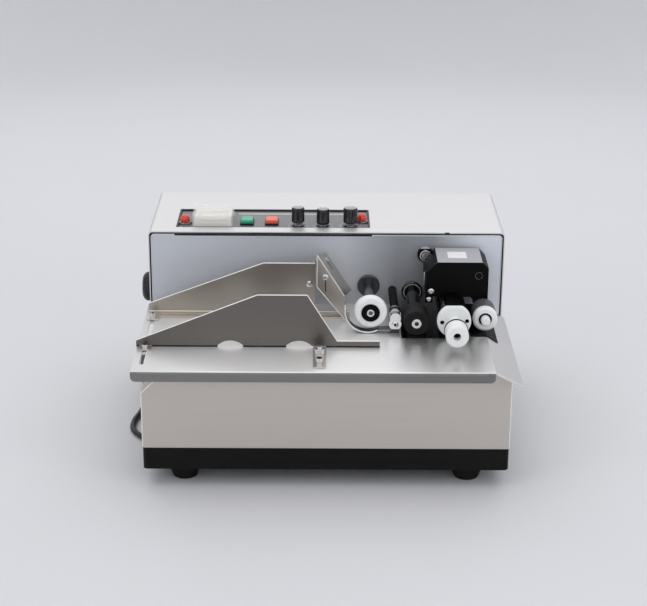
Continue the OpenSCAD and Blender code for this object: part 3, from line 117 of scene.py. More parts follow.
class Shade:
    """Builds one node material on a Principled shader."""

    def __init__(self, name: str) -> None:
        """Starts an empty material with its shader and output.

        Args:
            name: the material's name.
        """
        self.material = bpy.data.materials.new(name)
        self.material.use_nodes = True
        self.tree = self.material.node_tree
        self.tree.nodes.clear()
        self.shader = self.tree.nodes.new("ShaderNodeBsdfPrincipled")
        output = self.tree.nodes.new("ShaderNodeOutputMaterial")
        self.tree.links.new(self.shader.outputs["BSDF"], output.inputs["Surface"])

    def _feed(self, socket: bpy.types.NodeSocket, value: Input) -> None:
        """Links a socket, or sets it to a constant.

        Args:
            socket: the input to fill.
            value: what goes in; a colour gets a full alpha where the socket has one.
        """
        if isinstance(value, Value):
            self.tree.links.new(value.socket, socket)
        elif isinstance(value, (int, float)):
            socket.default_value = value
        else:
            size = len(socket.default_value)
            socket.default_value = (tuple(value) + (1.0,))[:size]

    def node(self, kind: str, settings: Optional[dict] = None, inputs: Optional[dict] = None,
             output: Union[int, str] = 0) -> Value:
        """Adds any node.

        Args:
            kind: Blender's type name.
            settings: properties, which are set before the sockets.
            inputs: socket name or number to a value or a link.
            output: which output to hand on.

        Returns:
            That output, as a Value.
        """
        made = self.tree.nodes.new(kind)
        for name, value in (settings or {}).items():
            setattr(made, name, value)
        for name, value in (inputs or {}).items():
            self._feed(made.inputs[name], value)
        return Value(self, made.outputs[output])

    def past(self, axis: str, start_mm: float, end_mm: float) -> Value:
        """Makes a ramp between two places on an axis of the frame.

        Args:
            axis: "X", "Y" or "Z".
            start_mm: where it is still 0.
            end_mm: where it is 1.

        Returns:
            The ramp.
        """
        coords = self.node("ShaderNodeTexCoord", output="Object")
        place = self.node("ShaderNodeSeparateXYZ", None, {0: coords}, axis)
        return self.node("ShaderNodeMapRange", None,
                         {"Value": place, "From Min": start_mm * MM, "From Max": end_mm * MM}, "Result")

    def noise(self, scale: float, detail: float, rough: float = 0.5,
              stretch: Sequence[float] = (1, 1, 1)) -> Value:
        """Makes smooth noise on Object coordinates.

        Args:
            scale: how fine it is.
            detail: how many finer layers it has.
            rough: how strong those are.
            stretch: scale of the coordinates along each axis.

        Returns:
            The noise, from 0 to 1.
        """
        coords = self.node("ShaderNodeTexCoord", output="Object")
        where = self.node("ShaderNodeMapping", None, {"Vector": coords, "Scale": stretch}, "Vector")
        return self.node("ShaderNodeTexNoise", None,
                         {"Vector": where, "Scale": scale, "Detail": detail, "Roughness": rough}, "Fac")

    def blend(self, factor: Value, low: Input, high: Input) -> Value:
        """A colour between two, by a factor."""
        return self.node("ShaderNodeMix", {"data_type": "RGBA"}, {0: factor, 6: low, 7: high}, 2)

    def toned(self, factor: Value, colour: Colour, tones: Iterable[float]) -> Value:
        """A colour between its darker and its lighter tone, by a factor."""
        return self.blend(factor, *(tint(colour, tone) for tone in tones))

    def bump(self, height: Value, strength: float, distance: float) -> None:
        """Feeds a bump of the given height map into the shader's normal."""
        normal = self.node("ShaderNodeBump", None,
                           {"Height": height, "Strength": strength, "Distance": distance}, "Normal")
        self._feed(self.shader.inputs["Normal"], normal)

    def set(self, **inputs: Input) -> None:
        """Sets or links the shader's own sockets, with underscores for spaces."""
        for name, value in inputs.items():
            self._feed(self.shader.inputs[name.replace("_", " ")], value)


def tint(colour: Colour, by: float) -> Colour:
    """A colour made lighter or darker by a factor."""
    return tuple(min(1.0, part * by) for part in colour)


class Grain(Enum):
    """Brushing along X on a steel sheet, with common or long strokes, as the stretch of its noise."""

    ACROSS = (6.0, 1500.0, 1500.0)
    LONG = (1.0, 1500.0, 1500.0)


@dataclass(frozen=True)
class Surface:
    """A finish by its name and colour: each kind paints the shader in its own way."""

    name: str
    colour: Colour

    def paint(self, shade: Shade) -> None:
        """Sets the shader's sockets."""
        raise NotImplementedError

    def make(self) -> bpy.types.Material:
        """Builds the material.

        Returns:
            The new material.
        """
        shade = Shade(self.name)
        self.paint(shade)
        return shade.material


@dataclass(frozen=True)
class BrushedSteel(Surface):
    """Stainless sheet with fine straight brushing and faint handling marks.

    A zone of painted shade or reflection is an axis, where it starts and is full, in millimetres of the
    frame, and how much lighter it is. A polished stretch is an axis, where it starts and where it is
    smoothest.
    """

    roughness: float = 0.3
    grain: Grain = Grain.ACROSS
    spread: float = 0.1
    metal: float = 1.0
    painted_light_zones: tuple[tuple[str, float, float, float], ...] = ()
    polished: Optional[tuple[str, float, float]] = None
    line_tones: tuple[float, float] = (0.9, 1.08)
    line_share: float = 0.6
    mark_metal: float = 0.1
    mark_rough: float = 0.08
    polished_metal: float = 0.95
    polished_share: float = 0.2

    def paint(self, shade: Shade) -> None:
        """Sets the shader's sockets.

        Args:
            shade: the material's builder.
        """
        lines = shade.noise(scale=1.0, detail=3.0, rough=0.6, stretch=self.grain.value)
        marks = shade.noise(scale=9.0, detail=4.0, rough=0.6)
        sheet = shade.toned(lines, self.colour, self.line_tones)
        # Each zone tints the sheet lighter or darker: painted reflection and shade
        for axis, start, full, by in self.painted_light_zones:
            painted_zone = shade.toned(lines, self.colour, [tone * by for tone in self.line_tones])
            sheet = shade.blend(shade.past(axis, start, full), sheet, painted_zone)
        metal = self.metal - self.mark_metal * marks
        rough = self.roughness - self.spread * self.line_share + self.spread * lines + self.mark_rough * marks
        if self.polished:
            there = shade.past(*self.polished)
            metal = metal + (self.polished_metal - self.metal) * there
            rough = rough - self.polished_share * self.roughness * there
        shade.set(Base_Color=sheet, Metallic=metal, Roughness=rough)
        shade.bump(lines, strength=0.08, distance=0.0002)


@dataclass(frozen=True)
class Plated(Surface):
    """Bright plated or turned steel."""

    roughness: float = 0.14
    haze_tones: tuple[float, float] = (0.92, 1.05)
    haze_rough: float = 0.1

    def paint(self, shade: Shade) -> None:
        """Sets the shader's sockets."""
        haze = shade.noise(scale=160.0, detail=3.0)
        shade.set(Base_Color=shade.toned(haze, self.colour, self.haze_tones), Metallic=1.0,
                  Roughness=self.roughness + self.haze_rough * haze)


@dataclass(frozen=True)
class Coated(Surface):
    """Painted, moulded or rubber surface: one colour with a fine grain and slightly uneven gloss.

    Above the sheen height, in millimetres, it shows a lighter tone, a painted sheen where a top face catches
    the lamps; the tone sets in over the sheen edge.
    """

    roughness: float = 0.4
    grain_scale: float = 1400.0
    grain_depth: float = 0.05
    coat: float = 0.0
    coat_roughness: float = 0.12
    gloss_spread: float = 0.12
    mottle: float = 0.12
    specular: float = 0.5
    painted_sheen_z: float = 1000.0
    painted_sheen: Colour = (0.45, 0.455, 0.485)
    painted_sheen_mottle: float = 0.08
    painted_sheen_edge: float = 0.4

    def paint(self, shade: Shade) -> None:
        """Sets the shader's sockets.

        Args:
            shade: the material's builder.
        """
        fine = shade.noise(self.grain_scale, detail=2.0)
        broad = shade.noise(scale=24.0, detail=4.0, rough=0.6)
        coat = shade.toned(broad, self.colour, (1 - self.mottle, 1 + self.mottle))
        # Painted sheen: a lighter tone above a height, where the top face catches the lamps
        painted_sheen = shade.toned(broad, self.painted_sheen, (1 - self.painted_sheen_mottle, 1 + self.painted_sheen_mottle))
        above = shade.past("Z", self.painted_sheen_z - self.painted_sheen_edge, self.painted_sheen_z)
        shade.set(Base_Color=shade.blend(above, coat, painted_sheen),
                  Roughness=self.roughness - self.gloss_spread / 2 + self.gloss_spread * broad,
                  Coat_Weight=self.coat, Coat_Roughness=self.coat_roughness, Specular_IOR_Level=self.specular)
        shade.bump(fine, self.grain_depth, distance=0.0003)


@dataclass(frozen=True)
class Nylon(Surface):
    """Turned white nylon: slightly translucent, with faint turning marks."""

    roughness: float = 0.36
    ring_stretch: Point = (300.0, 1600.0, 300.0)
    ring_rough: float = 0.14
    soil_tones: tuple[float, float] = (0.92, 1.0)
    milkiness: float = 0.08

    def paint(self, shade: Shade) -> None:
        """Sets the shader's sockets.

        Args:
            shade: the material's builder.
        """
        rings = shade.noise(scale=1.0, detail=2.0, stretch=self.ring_stretch)
        soil = shade.noise(scale=60.0, detail=4.0, rough=0.6)
        shade.set(Base_Color=shade.toned(soil, self.colour, self.soil_tones),
                  Roughness=self.roughness + self.ring_rough * rings, Subsurface_Weight=self.milkiness)
        shade.bump(rings, strength=0.05, distance=0.0002)


@dataclass(frozen=True)
class ClearMoulding(Surface):
    """Milky clear moulding."""

    roughness: float = 0.16
    haze_rough: float = 0.06
    alpha: float = 0.28
    haze_alpha: float = 0.03

    def paint(self, shade: Shade) -> None:
        """Sets the shader's sockets."""
        haze = shade.noise(scale=70.0, detail=3.0)
        shade.set(Base_Color=self.colour, Roughness=self.roughness + self.haze_rough * haze,
                  Alpha=self.alpha + self.haze_alpha * haze)


@dataclass(frozen=True)
class Lens(Surface):
    """Coloured lamp lens with a faint inner glow."""

    tones: tuple[float, float] = (0.8, 1.15)
    roughness: float = 0.12
    depth_rough: float = 0.08
    coat: float = 0.6
    coat_roughness: float = 0.05
    glow: float = 0.12

    def paint(self, shade: Shade) -> None:
        """Sets the shader's sockets."""
        depth = shade.noise(scale=220.0, detail=2.0)
        shade.set(Base_Color=shade.toned(depth, self.colour, self.tones),
                  Roughness=self.roughness + self.depth_rough * depth,
                  Coat_Weight=self.coat, Coat_Roughness=self.coat_roughness,
                  Emission_Color=(*self.colour, 1), Emission_Strength=self.glow)


class Finish(Enum):
    """The finishes of the machine, by the record's material slot.

    The numbers after the colour are the roughness and, for a coated one, the grain's scale and depth and
    the coat.
    """

    tray_black = Coated("tray black", (0.005, 0.005, 0.005), 0.45, 900.0, 0.08, specular=0.13)
    foot_rubber = Coated("foot rubber", (0.007, 0.007, 0.007), 0.7, 700.0, 0.15, specular=0.2)
    casing_steel = BrushedSteel("casing steel", (0.76, 0.755, 0.755), 0.42, metal=0.85)
    # The casing steel again, darker and warmer: a painted warm reflection on the lower casing
    lower_steel_reflection_tone = BrushedSteel("lower casing steel", (0.585, 0.54, 0.505), 0.42, metal=0.85)
    # Table zones, painted reflection and shade: darker towards both ends and on the flap, with a much darker
    # front lip
    table_steel = BrushedSteel("table steel", (0.93, 0.92, 0.91), 0.33, Grain.LONG, 0.05, metal=0.5,
                               painted_light_zones=(("X", -110.0, -190.0, 0.72), ("X", 70.0, 110.0, 0.72),
                                      ("Y", -171.9, -172.4, 0.215), ("X", 170.6, 171.2, 0.77)),
                               polished=("X", 55.0, 85.0))
    # One guide steel in toned copies, painted shade and reflection: the front guide darker, the rear guide
    # and stop blade lighter and warmer; the zones paint each foot lighter
    guide_steel = BrushedSteel("guide steel", (0.165, 0.153, 0.142), 0.3,
                               painted_light_zones=(("Z", 133.2, 132.8, 3.8),))
    shaded_steel = BrushedSteel("rear guide steel", (0.475, 0.435, 0.39), 0.3,
                                painted_light_zones=(("Z", 133.2, 132.8, 1.5),))
    # Plate zones, painted reflection and shade: a darker band behind the rollers and head, and a lighter
    # right end
    plate_steel = BrushedSteel("plate steel", (0.66, 0.685, 0.735), 0.6, metal=0.65,
                               painted_light_zones=(("X", 25.0, 80.0, 0.56), ("X", 120.0, 172.0, 1.25)))
    zinc_sheet = BrushedSteel("zinc sheet", (0.55, 0.56, 0.57), 0.4)
    # A pale steel for beads that are painted highlights along polished edges
    edge_highlight = BrushedSteel("edge highlight", (0.95, 0.93, 0.90), 0.4, metal=0.6)
    chrome = Plated("bright plating", (0.70, 0.70, 0.71), 0.2)
    shaded_chrome = Plated("shaded plating", (0.26, 0.26, 0.27), 0.16)
    spun_cap = Plated("spun cap", (0.46, 0.46, 0.475), 0.3)
    # The head's top above this height carries a painted sheen
    black_paint = Coated("head black", (0.004, 0.004, 0.0045), 0.42, 800.0, 0.1, specular=0.07,
                         painted_sheen_z=197.4)
    black_plastic = Coated("moulded black", (0.010, 0.010, 0.011), 0.4, 1100.0, 0.08)
    black_gloss = Coated("gloss black", (0.004, 0.004, 0.0045), 0.18, 900.0, 0.02, 0.25)
    black_rubber = Coated("roller rubber", (0.006, 0.006, 0.0065), 0.55, 900.0, 0.12, specular=0.22)
    grey_rubber = Coated("grey rubber", (0.09, 0.09, 0.095), 0.55, 700.0, 0.2)
    dark_steel = Plated("blackened steel", (0.085, 0.085, 0.09), 0.2)
    white_nylon = Nylon("white nylon", (0.96, 0.96, 0.95))
    grey_panel = Coated("panel grey", (0.21, 0.212, 0.22), 0.4, 1500.0, 0.04)
    panel_print = Coated("panel print", (0.55, 0.55, 0.56), 0.5, 1500.0, 0.02)
    red_lens = Lens("red lens", (0.62, 0.04, 0.02))
    green_cap = Coated("green cap", (0.02, 0.42, 0.23), 0.3, 600.0, 0.02, 0.3)
    red_cap = Coated("red cap", (0.88, 0.12, 0.06), 0.3, 600.0, 0.02, 0.3)
    cream_plastic = Coated("cream moulding", (0.95, 0.88, 0.75), 0.35, 900.0, 0.03)
    clear_plastic = ClearMoulding("clear moulding", (0.99, 0.99, 1.0))
    motor_black = Coated("motor black", (0.03, 0.03, 0.032), 0.5, 600.0, 0.1)
    board_green = Coated("board green", (0.02, 0.11, 0.05), 0.35, 1200.0, 0.04)
    core_brown = Coated("core brown", (0.16, 0.09, 0.05), 0.4, 500.0, 0.1)
    cord_black = Coated("cord sheath", (0.010, 0.010, 0.011), 0.45, 900.0, 0.06)

    @property
    def slot(self) -> str:
        """The record's material slot, which some finishes share."""
        shared = {"edge_highlight": "guide_steel", "shaded_steel": "guide_steel", "lower_steel_reflection_tone": "casing_steel",
                  "shaded_chrome": "chrome", "spun_cap": "chrome", "grey_rubber": "black_rubber",
                  "panel_print": "white_nylon"}
        return shared.get(self.name, self.name)


MADE: dict[Finish, bpy.types.Material] = {}


def material(finish: Finish) -> bpy.types.Material:
    """Gives a finish's material, which is made once.

    Args:
        finish: the finish.

    Returns:
        Its material.
    """
    if finish not in MADE:
        MADE[finish] = finish.value.make()
    return MADE[finish]


# Mesh tools


def corner_normals(bm: bmesh.types.BMesh, smooth_deg: float) -> list[Vector]:
    """A normal for each face corner that follows the largest faces there, so that flat sheets look flat.

    Args:
        bm: the mesh.
        smooth_deg: faces that turn further than this from the corner's face don't count.

    Returns:
        The normals, in the order of the faces and their corners.
    """
    bm.normal_update()
    bm.faces.index_update()
    near = math.cos(math.radians(smooth_deg))
    pull = [face.normal * face.calc_area() for face in bm.faces]
    normals = []
    for face in bm.faces:
        for vert in face.verts:
            beside = [other for other in vert.link_faces if other.normal.dot(face.normal) > near]
            whole = sum((pull[other.index] for other in beside), Vector())
            normals.append(whole.normalized() if whole.length > 0 else face.normal.copy())
    return normals


def piece(name: str, bm: bmesh.types.BMesh, body: str, finish: Finish, smooth_deg: float = 20.0,
          replaced: Iterable[str] = ()) -> bpy.types.Object:
    """Turns a bmesh into a finished piece that rides on a body.

    Args:
        name: the piece's name.
        bm: its mesh, in the frame, which is freed.
        body: the CAD body that it moves with.
        finish: its finish.
        smooth_deg: edges sharper than this stay sharp.
        replaced: CAD nodes that it stands for.

    Returns:
        The new object.
    """
    for edge in bm.edges:
        edge.smooth = not edge.is_manifold or edge.calc_face_angle(0.0) < math.radians(smooth_deg)
    for face in bm.faces:
        face.smooth = True
        face.material_index = 0
    nodes = list(replaced)
    normals = corner_normals(bm, smooth_deg) if nodes else []
    mesh = bpy.data.meshes.new(name)
    bm.to_mesh(mesh)
    bm.free()
    if normals:
        mesh.normals_split_custom_set(normals)
    mesh.materials.append(material(finish))
    made = bpy.data.objects.new(name, mesh)
    bpy.context.scene.collection.objects.link(made)
    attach(made, body)
    if nodes:
        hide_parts(*nodes)
    LOG.info("%s: %d faces on %s", name, len(mesh.polygons), body)
    return made


def soften(bm: bmesh.types.BMesh, width: float, angle_deg: float = 35.0) -> None:
    """Breaks the sharp edges of a mesh with a small rounded bevel."""
    sharp = [e for e in bm.edges if e.is_manifold and e.calc_face_angle(0.0) > math.radians(angle_deg)]
    bmesh.ops.bevel(bm, geom=sharp, offset=width, offset_type="OFFSET", affect="EDGES", segments=2,
                    profile=0.5, material=-1, clamp_overlap=True)


def dressed(node: str, finish: Finish, width_mm: float = 0.0) -> bpy.types.Object:
    """Shows a CAD node in its finish, with its edges broken where a width is given.

    Args:
        node: the CAD node's name.
        finish: its finish.
        width_mm: bevel width, or 0 to show the CAD mesh itself.

    Returns:
        The object that shows.
    """
    source = frame["nodes"][node]
    if not width_mm:
        source.data.materials.clear()
        source.data.materials.append(material(finish))
        LOG.info("%s: CAD mesh in %s", node, finish.name)
        return source
    bm = bmesh.new()
    bm.from_mesh(source.data)
    bmesh.ops.remove_doubles(bm, verts=bm.verts, dist=CAD_WELD)
    bmesh.ops.dissolve_limit(bm, angle_limit=math.radians(FLAT_DEG), verts=bm.verts, edges=bm.edges)
    soften(bm, width_mm * MM)
    return piece(node + "_dressed", bm, BODY_OF[node], finish, replaced=[node])


def spun(bm: bmesh.types.BMesh, points: list[bmesh.types.BMVert], closed: bool, steps: int) -> None:
    """Joins points of a section, spins them once about the upright axis and sets the normals.

    Args:
        bm: the mesh that holds the points.
        points: the section, in order.
        closed: whether the last point joins the first.
        steps: faces round the turn.
    """
    edges = [bm.edges.new(pair) for pair in zip(points, points[1:])]
    if closed:
        edges.append(bm.edges.new((points[-1], points[0])))
    bmesh.ops.spin(bm, geom=points + edges, cent=(0, 0, 0), axis=(0, 0, 1), angle=2 * math.pi, steps=steps,
                   use_merge=True)
    bmesh.ops.remove_doubles(bm, verts=bm.verts, dist=SPIN_WELD)
    bmesh.ops.recalc_face_normals(bm, faces=bm.faces)


def turned(profile: Sequence[tuple[float, float]], origin: Vector, axis: str = "Z",
           steps: int = 48) -> bmesh.types.BMesh:
    """Spins a profile of radius and height, in millimetres, about an axis through a point.

    Args:
        profile: the points from the axis, round the section and back to the axis, or a ring's closed section.
        origin: where the axis starts, in the frame.
        axis: "Z" for an upright axis, "Y" for one that runs to the back.
        steps: faces round the turn.

    Returns:
        The closed mesh.
    """
    bm = bmesh.new()
    points = [bm.verts.new((radius * MM, 0.0, height * MM)) for radius, height in profile]
    spun(bm, points, profile[0][0] > 0, steps)
    turn = Matrix.Rotation(-math.pi / 2, 4, "X") if axis == "Y" else Matrix.Identity(4)
    bmesh.ops.transform(bm, matrix=Matrix.Translation(origin) @ turn, verts=bm.verts)
    return bm


def block(size_mm: Sequence[float], centre: Vector, turn: Optional[Matrix] = None,
          round_mm: float = 0.0) -> bmesh.types.BMesh:
    """Makes a box.

    Args:
        size_mm: its width, depth and height.
        centre: its middle, in the frame.
        turn: how it is turned about its middle.
        round_mm: width of its broken edges, or 0 for sharp ones.

    Returns:
        The box.
    """
    bm = bmesh.new()
    bmesh.ops.create_cube(bm, size=1.0)
    bmesh.ops.scale(bm, vec=Vector(size_mm) * MM, verts=bm.verts)
    if round_mm:
        soften(bm, round_mm * MM)
    bmesh.ops.transform(bm, matrix=Matrix.Translation(centre) @ (turn or Matrix.Identity(4)), verts=bm.verts)
    return bm


def bead(points: Sequence[Vector], radius_mm: float, sides: int = 8) -> bmesh.types.BMesh:
    """A round bead along a line of points: one rod for each stretch.

    Args:
        points: the line, in the frame.
        radius_mm: half the bead's thickness.
        sides: faces round the bead.

    Returns:
        The rods, in one mesh.
    """
    bm = bmesh.new()
    for start, end in zip(points, points[1:]):
        way = end - start
        place = Matrix.Translation((start + end) / 2) @ way.to_track_quat("Z", "Y").to_matrix().to_4x4()
        bmesh.ops.create_cone(bm, cap_ends=True, segments=sides, radius1=radius_mm * MM,
                              radius2=radius_mm * MM, depth=way.length, matrix=place)
    return bm


def join(parts: Iterable[bmesh.types.BMesh]) -> bmesh.types.BMesh:
    """Gathers several meshes into one.

    Args:
        parts: the meshes, which are freed.

    Returns:
        The whole.
    """
    whole = bmesh.new()
    for part in parts:
        scratch = bpy.data.meshes.new("scratch")
        part.to_mesh(scratch)
        part.free()
        whole.from_mesh(scratch)
        bpy.data.meshes.remove(scratch)
    return whole


Dressing = tuple[str, Finish, float]
Ring = tuple[str, str, Finish, Point, Profile]
Slab = tuple[str, str, Finish, Point, Point, float]
Edge = tuple[str, tuple[Point, ...]]


def dress(table: Iterable[Dressing]) -> None:
    """Shows CAD nodes in their finishes: each row has a node, its finish and its bevel's width."""
    for node, finish, width_mm in table:
        dressed(node, finish, width_mm)


def fit_rings(rings: Iterable[Ring]) -> None:
    """Adds turned pieces along Y: each row has a name, a body, a finish, a place and a profile."""
    for name, body, finish, place, profile in rings:
        piece(name, turned(profile, at(*place), "Y"), body, finish)


def fit_slabs(slabs: Iterable[Slab]) -> None:
    """Adds blocks: each row has a name, a body, a finish, a size, a place and the width of broken edges."""
    for name, body, finish, size_mm, place, round_mm in slabs:
        piece(name, block(size_mm, at(*place), round_mm=round_mm), body, finish)


def edge_highlight(name: str, line: Iterable[Point], body: str, radius_mm: float) -> None:
    """Adds the polished edge of a sheet along a line of places on the machine, as a pale bead that is a
    painted highlight.
    """
    rods = bead([at(*place) for place in line], radius_mm)
    piece(name + "_edge_highlight", rods, body, Finish.edge_highlight)


# The camera, the mains lead, the floor and the light


class SubAssembly(Protocol):
    """Anything that adds its own pieces to the scene."""

    def build(self) -> None:
        """Adds the pieces."""


@dataclass
class PhotoCamera:
    """A camera at the photograph's viewing angle."""

    eye_mm: Point = (-6.9, -1513.7, 758.0)
    tilt_deg: float = 69.759
    yaw_deg: float = -0.136
    roll_deg: float = 0.332
    focal_px: float = 1653.4
    image_w_px: int = 647
    sensor_mm: float = 36.0

    def build(self) -> None:
        """Makes the camera and sets it as the scene's."""
        data = bpy.data.cameras.new("photo_camera")
        data.sensor_fit = "HORIZONTAL"
        data.sensor_width = self.sensor_mm
        data.lens = self.sensor_mm * self.focal_px / self.image_w_px
        camera = bpy.data.objects.new("photo_camera", data)
        turns = ((self.yaw_deg, "Z"), (self.tilt_deg, "X"), (self.roll_deg, "Z"))
        yaw, tilt, roll = (Matrix.Rotation(math.radians(angle), 4, axis) for angle, axis in turns)
        camera.matrix_world = Matrix.Translation(at(*self.eye_mm)) @ (yaw @ tilt @ roll)
        bpy.context.scene.collection.objects.link(camera)
        bpy.context.scene.camera = camera


@dataclass
class MainsLead:
    """The mains lead: a free run along the floor, a two-layer coil and a straight tail into the plug."""

    cord_mm: float = 6.0
    pitch_mm: float = 6.8
    coil_mid: tuple[float, float] = (-67.0, 392.0)
    coil_radius: float = 44.0
    coil_z: float = 4.2
    lower_turns: float = 2.5
    climb_turns: float = 0.5
    upper_turns: float = 2.25
    climb_dip: float = 1.2
    tail_x: float = -16.0
    tail_leads: tuple[float, float] = (16.0, 32.0)
    steps_per_turn: int = 48
    from_gland: tuple[Point, ...] = (
        (-150, 363, 33), (-150, 376, 32), (-152, 392, 25), (-158, 408, 13), (-172, 419, 6), (-192, 420, 3.6))
    floor_z: float = 3.2
    on_floor: Profile = (
        (-210, 409), (-219, 390), (-220, 360), (-219, 330), (-216, 300), (-211, 270), (-207, 240),
        (-204, 212), (-206, 182), (-211, 154), (-209, 130), (-194, 109), (-172, 102), (-152, 109),
        (-138, 126), (-131, 150), (-125, 180), (-119, 212), (-114, 246), (-111, 280), (-110, 314),
        (-110, 344))
    to_coil: tuple[Point, ...] = ((-111, 364, 3.6), (-111, 380, 4.2))

    def coil_point(self, turn: float) -> Vector:
        """Finds a point of the coil.

        Args:
            turn: how many turns have passed.

        Returns:
            The point, in millimetres on the machine.
        """
        climb = min(max((turn - self.lower_turns) / self.climb_turns, 0.0), 1.0)
        out = max(turn - self.lower_turns - self.climb_turns, 0.0)
        inner = self.coil_radius - self.lower_turns * self.pitch_mm
        if turn < self.lower_turns:
            radius = self.coil_radius - turn * self.pitch_mm
        else:
            radius = inner + out * self.pitch_mm - self.climb_dip * math.sin(math.pi * climb)
        angle = math.pi - 2 * math.pi * turn
        mid_x, mid_y = self.coil_mid
        return Vector((mid_x + radius * math.cos(angle), mid_y + radius * math.sin(angle),
                       self.coil_z + self.pitch_mm * climb))

    def free_run(self, steps: int = 6) -> list[Vector]:
        """Draws the free run as a smooth curve through the points of its route.

        Args:
            steps: points of the curve for each stretch of the route.

        Returns:
            The curve's points, without the last.
        """
        along = [(x, y, self.floor_z) for x, y in self.on_floor]
        way = [Vector(point) for point in (*self.from_gland, *along, *self.to_coil)]
        last = len(way) - 1
        line = []
        for i in range(last):
            a, b, c, d = way[max(i - 1, 0)], way[i], way[i + 1], way[min(i + 2, last)]
            for k in range(steps):
                t = k / steps
                line.append(0.5 * (2 * b + (c - a) * t + (2 * a - 5 * b + 4 * c - d) * t * t
                                   + (3 * b - a - 3 * c + d) * t ** 3))
        return line

    def points(self) -> list[Vector]:
        """Draws the whole centreline.

        Returns:
            Its points, in millimetres on the machine.
        """
        total = self.lower_turns + self.climb_turns + self.upper_turns
        count = round(total * self.steps_per_turn)
        coil = [self.coil_point(total * i / count) for i in range(count + 1)]
        start, end = coil[0], coil[-1]
        entry = [Vector(self.to_coil[-1]), Vector((start.x, start.y - self.cord_mm, start.z))]
        tail_x = (*(end.x + lead for lead in self.tail_leads), self.tail_x)
        tail = [Vector((x, end.y, end.z)) for x in tail_x]
        return self.free_run() + entry + coil + tail

    def build(self) -> None:
        """Makes the lead as one curve in place of its CAD tubes."""
        line = [at(*point) for point in self.points()]
        curve = bpy.data.curves.new("mains_lead", "CURVE")
        curve.dimensions = "3D"
        curve.bevel_depth = self.cord_mm * MM / 2
        curve.bevel_resolution = 4
        curve.use_fill_caps = True
        spline = curve.splines.new("POLY")
        spline.points.add(len(line) - 1)
        for knot, point in zip(spline.points, line):
            knot.co = (*point, 1.0)
        curve.materials.append(material(Finish.cord_black))
        lead = bpy.data.objects.new("mains_lead", curve)
        bpy.context.scene.collection.objects.link(lead)
        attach(lead, BODY_OF["cord_run"])
        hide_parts("cord_run", "cord_coil")
        plug = dressed("mains_plug", Finish.black_plastic, 0.4)
        tie = dressed("cord_tie", Finish.black_plastic, 0.2)
        gland = dressed("cord_gland", Finish.cord_black)


@dataclass(frozen=True)
class SoftLamp:
    """A rectangular lamp that points at a place, in metres and watts."""

    name: str
    place: Point
    aim: Point
    size: tuple[float, float]
    power: float

    def build(self) -> None:
        """Adds the lamp."""
        data = bpy.data.lights.new(self.name, "AREA")
        data.shape = "RECTANGLE"
        data.size, data.size_y = self.size
        data.energy = self.power
        lamp = bpy.data.objects.new(self.name, data)
        lamp.location = self.place
        way = Vector(self.aim) - Vector(self.place)
        lamp.rotation_euler = way.to_track_quat("-Z", "Y").to_euler()
        bpy.context.scene.collection.objects.link(lamp)


@dataclass
class Studio:
    """A round pale floor that sweeps up into a wall on every side, soft lamps and an even sky."""

    floor_r: float = 1.8
    floor_drop: float = 0.0002
    sweep_r: float = 0.8
    sweep_steps: int = 12
    wall_h: float = 2.4
    turn_steps: int = 96
    floor_colour: Colour = (0.745, 0.75, 0.775)
    floor_tones: tuple[float, float] = (0.98, 1.02)
    floor_roughness: float = 0.75
    sky: Colour = (0.90, 0.92, 0.95)
    sky_strength: float = 0.22
    lamps: tuple[SoftLamp, ...] = (
        SoftLamp("overhead", (0.0, 0.1, 2.2), (0.0, 0.0, 0.0), (3.6, 3.2), 34.0),
        SoftLamp("behind", (0.0, 1.5, 1.25), (0.0, 0.0, 0.2), (2.6, 1.2), 7.6),
        SoftLamp("left_front", (-1.7, -1.6, 1.5), (0.0, 0.0, 0.1), (1.2, 1.2), 7.6),
        SoftLamp("right_front", (1.8, -1.3, 1.2), (0.0, 0.0, 0.1), (1.0, 1.2), 4.2),
        SoftLamp("front_fill", (0.3, -1.6, 0.9), (0.1, 0.0, 0.14), (1.8, 1.2), 4.4))

    def backdrop(self) -> None:
        """Builds the floor, its sweep and the wall as one turned sheet."""
        bm = bmesh.new()
        turns = [math.radians(90 / self.sweep_steps * i) for i in range(self.sweep_steps + 1)]
        arc = [(self.floor_r + self.sweep_r * math.sin(a), self.sweep_r * (1 - math.cos(a))) for a in turns]
        outline = [(0.0, 0.0), *arc, (self.floor_r + self.sweep_r, self.wall_h)]
        points = [bm.verts.new((reach, 0.0, z - self.floor_drop)) for reach, z in outline]
        spun(bm, points, closed=False, steps=self.turn_steps)
        bm.faces.ensure_lookup_table()
        if bm.faces[0].normal.z < 0:
            bmesh.ops.reverse_faces(bm, faces=bm.faces)
        for face in bm.faces:
            face.smooth = True
        mesh = bpy.data.meshes.new("backdrop")
        bm.to_mesh(mesh)
        bm.free()
        shade = Shade("pale floor")
        soft = shade.noise(scale=3.0, detail=3.0)
        shade.set(Base_Color=shade.toned(soft, self.floor_colour, self.floor_tones),
                  Roughness=self.floor_roughness)
        mesh.materials.append(shade.material)
        sheet_object = bpy.data.objects.new("backdrop", mesh)
        bpy.context.scene.collection.objects.link(sheet_object)

    def build(self) -> None:
        """Makes the backdrop, the lamps and the sky."""
        self.backdrop()
        for lamp in self.lamps:
            lamp.build()
        world = bpy.data.worlds.new("sky")
        world.use_nodes = True
        back = world.node_tree.nodes["Background"]
        back.inputs["Color"].default_value = (*self.sky, 1.0)
        back.inputs["Strength"].default_value = self.sky_strength
        bpy.context.scene.world = world
        bpy.context.scene.view_settings.view_transform = "Standard"


# The machine's sub-assemblies


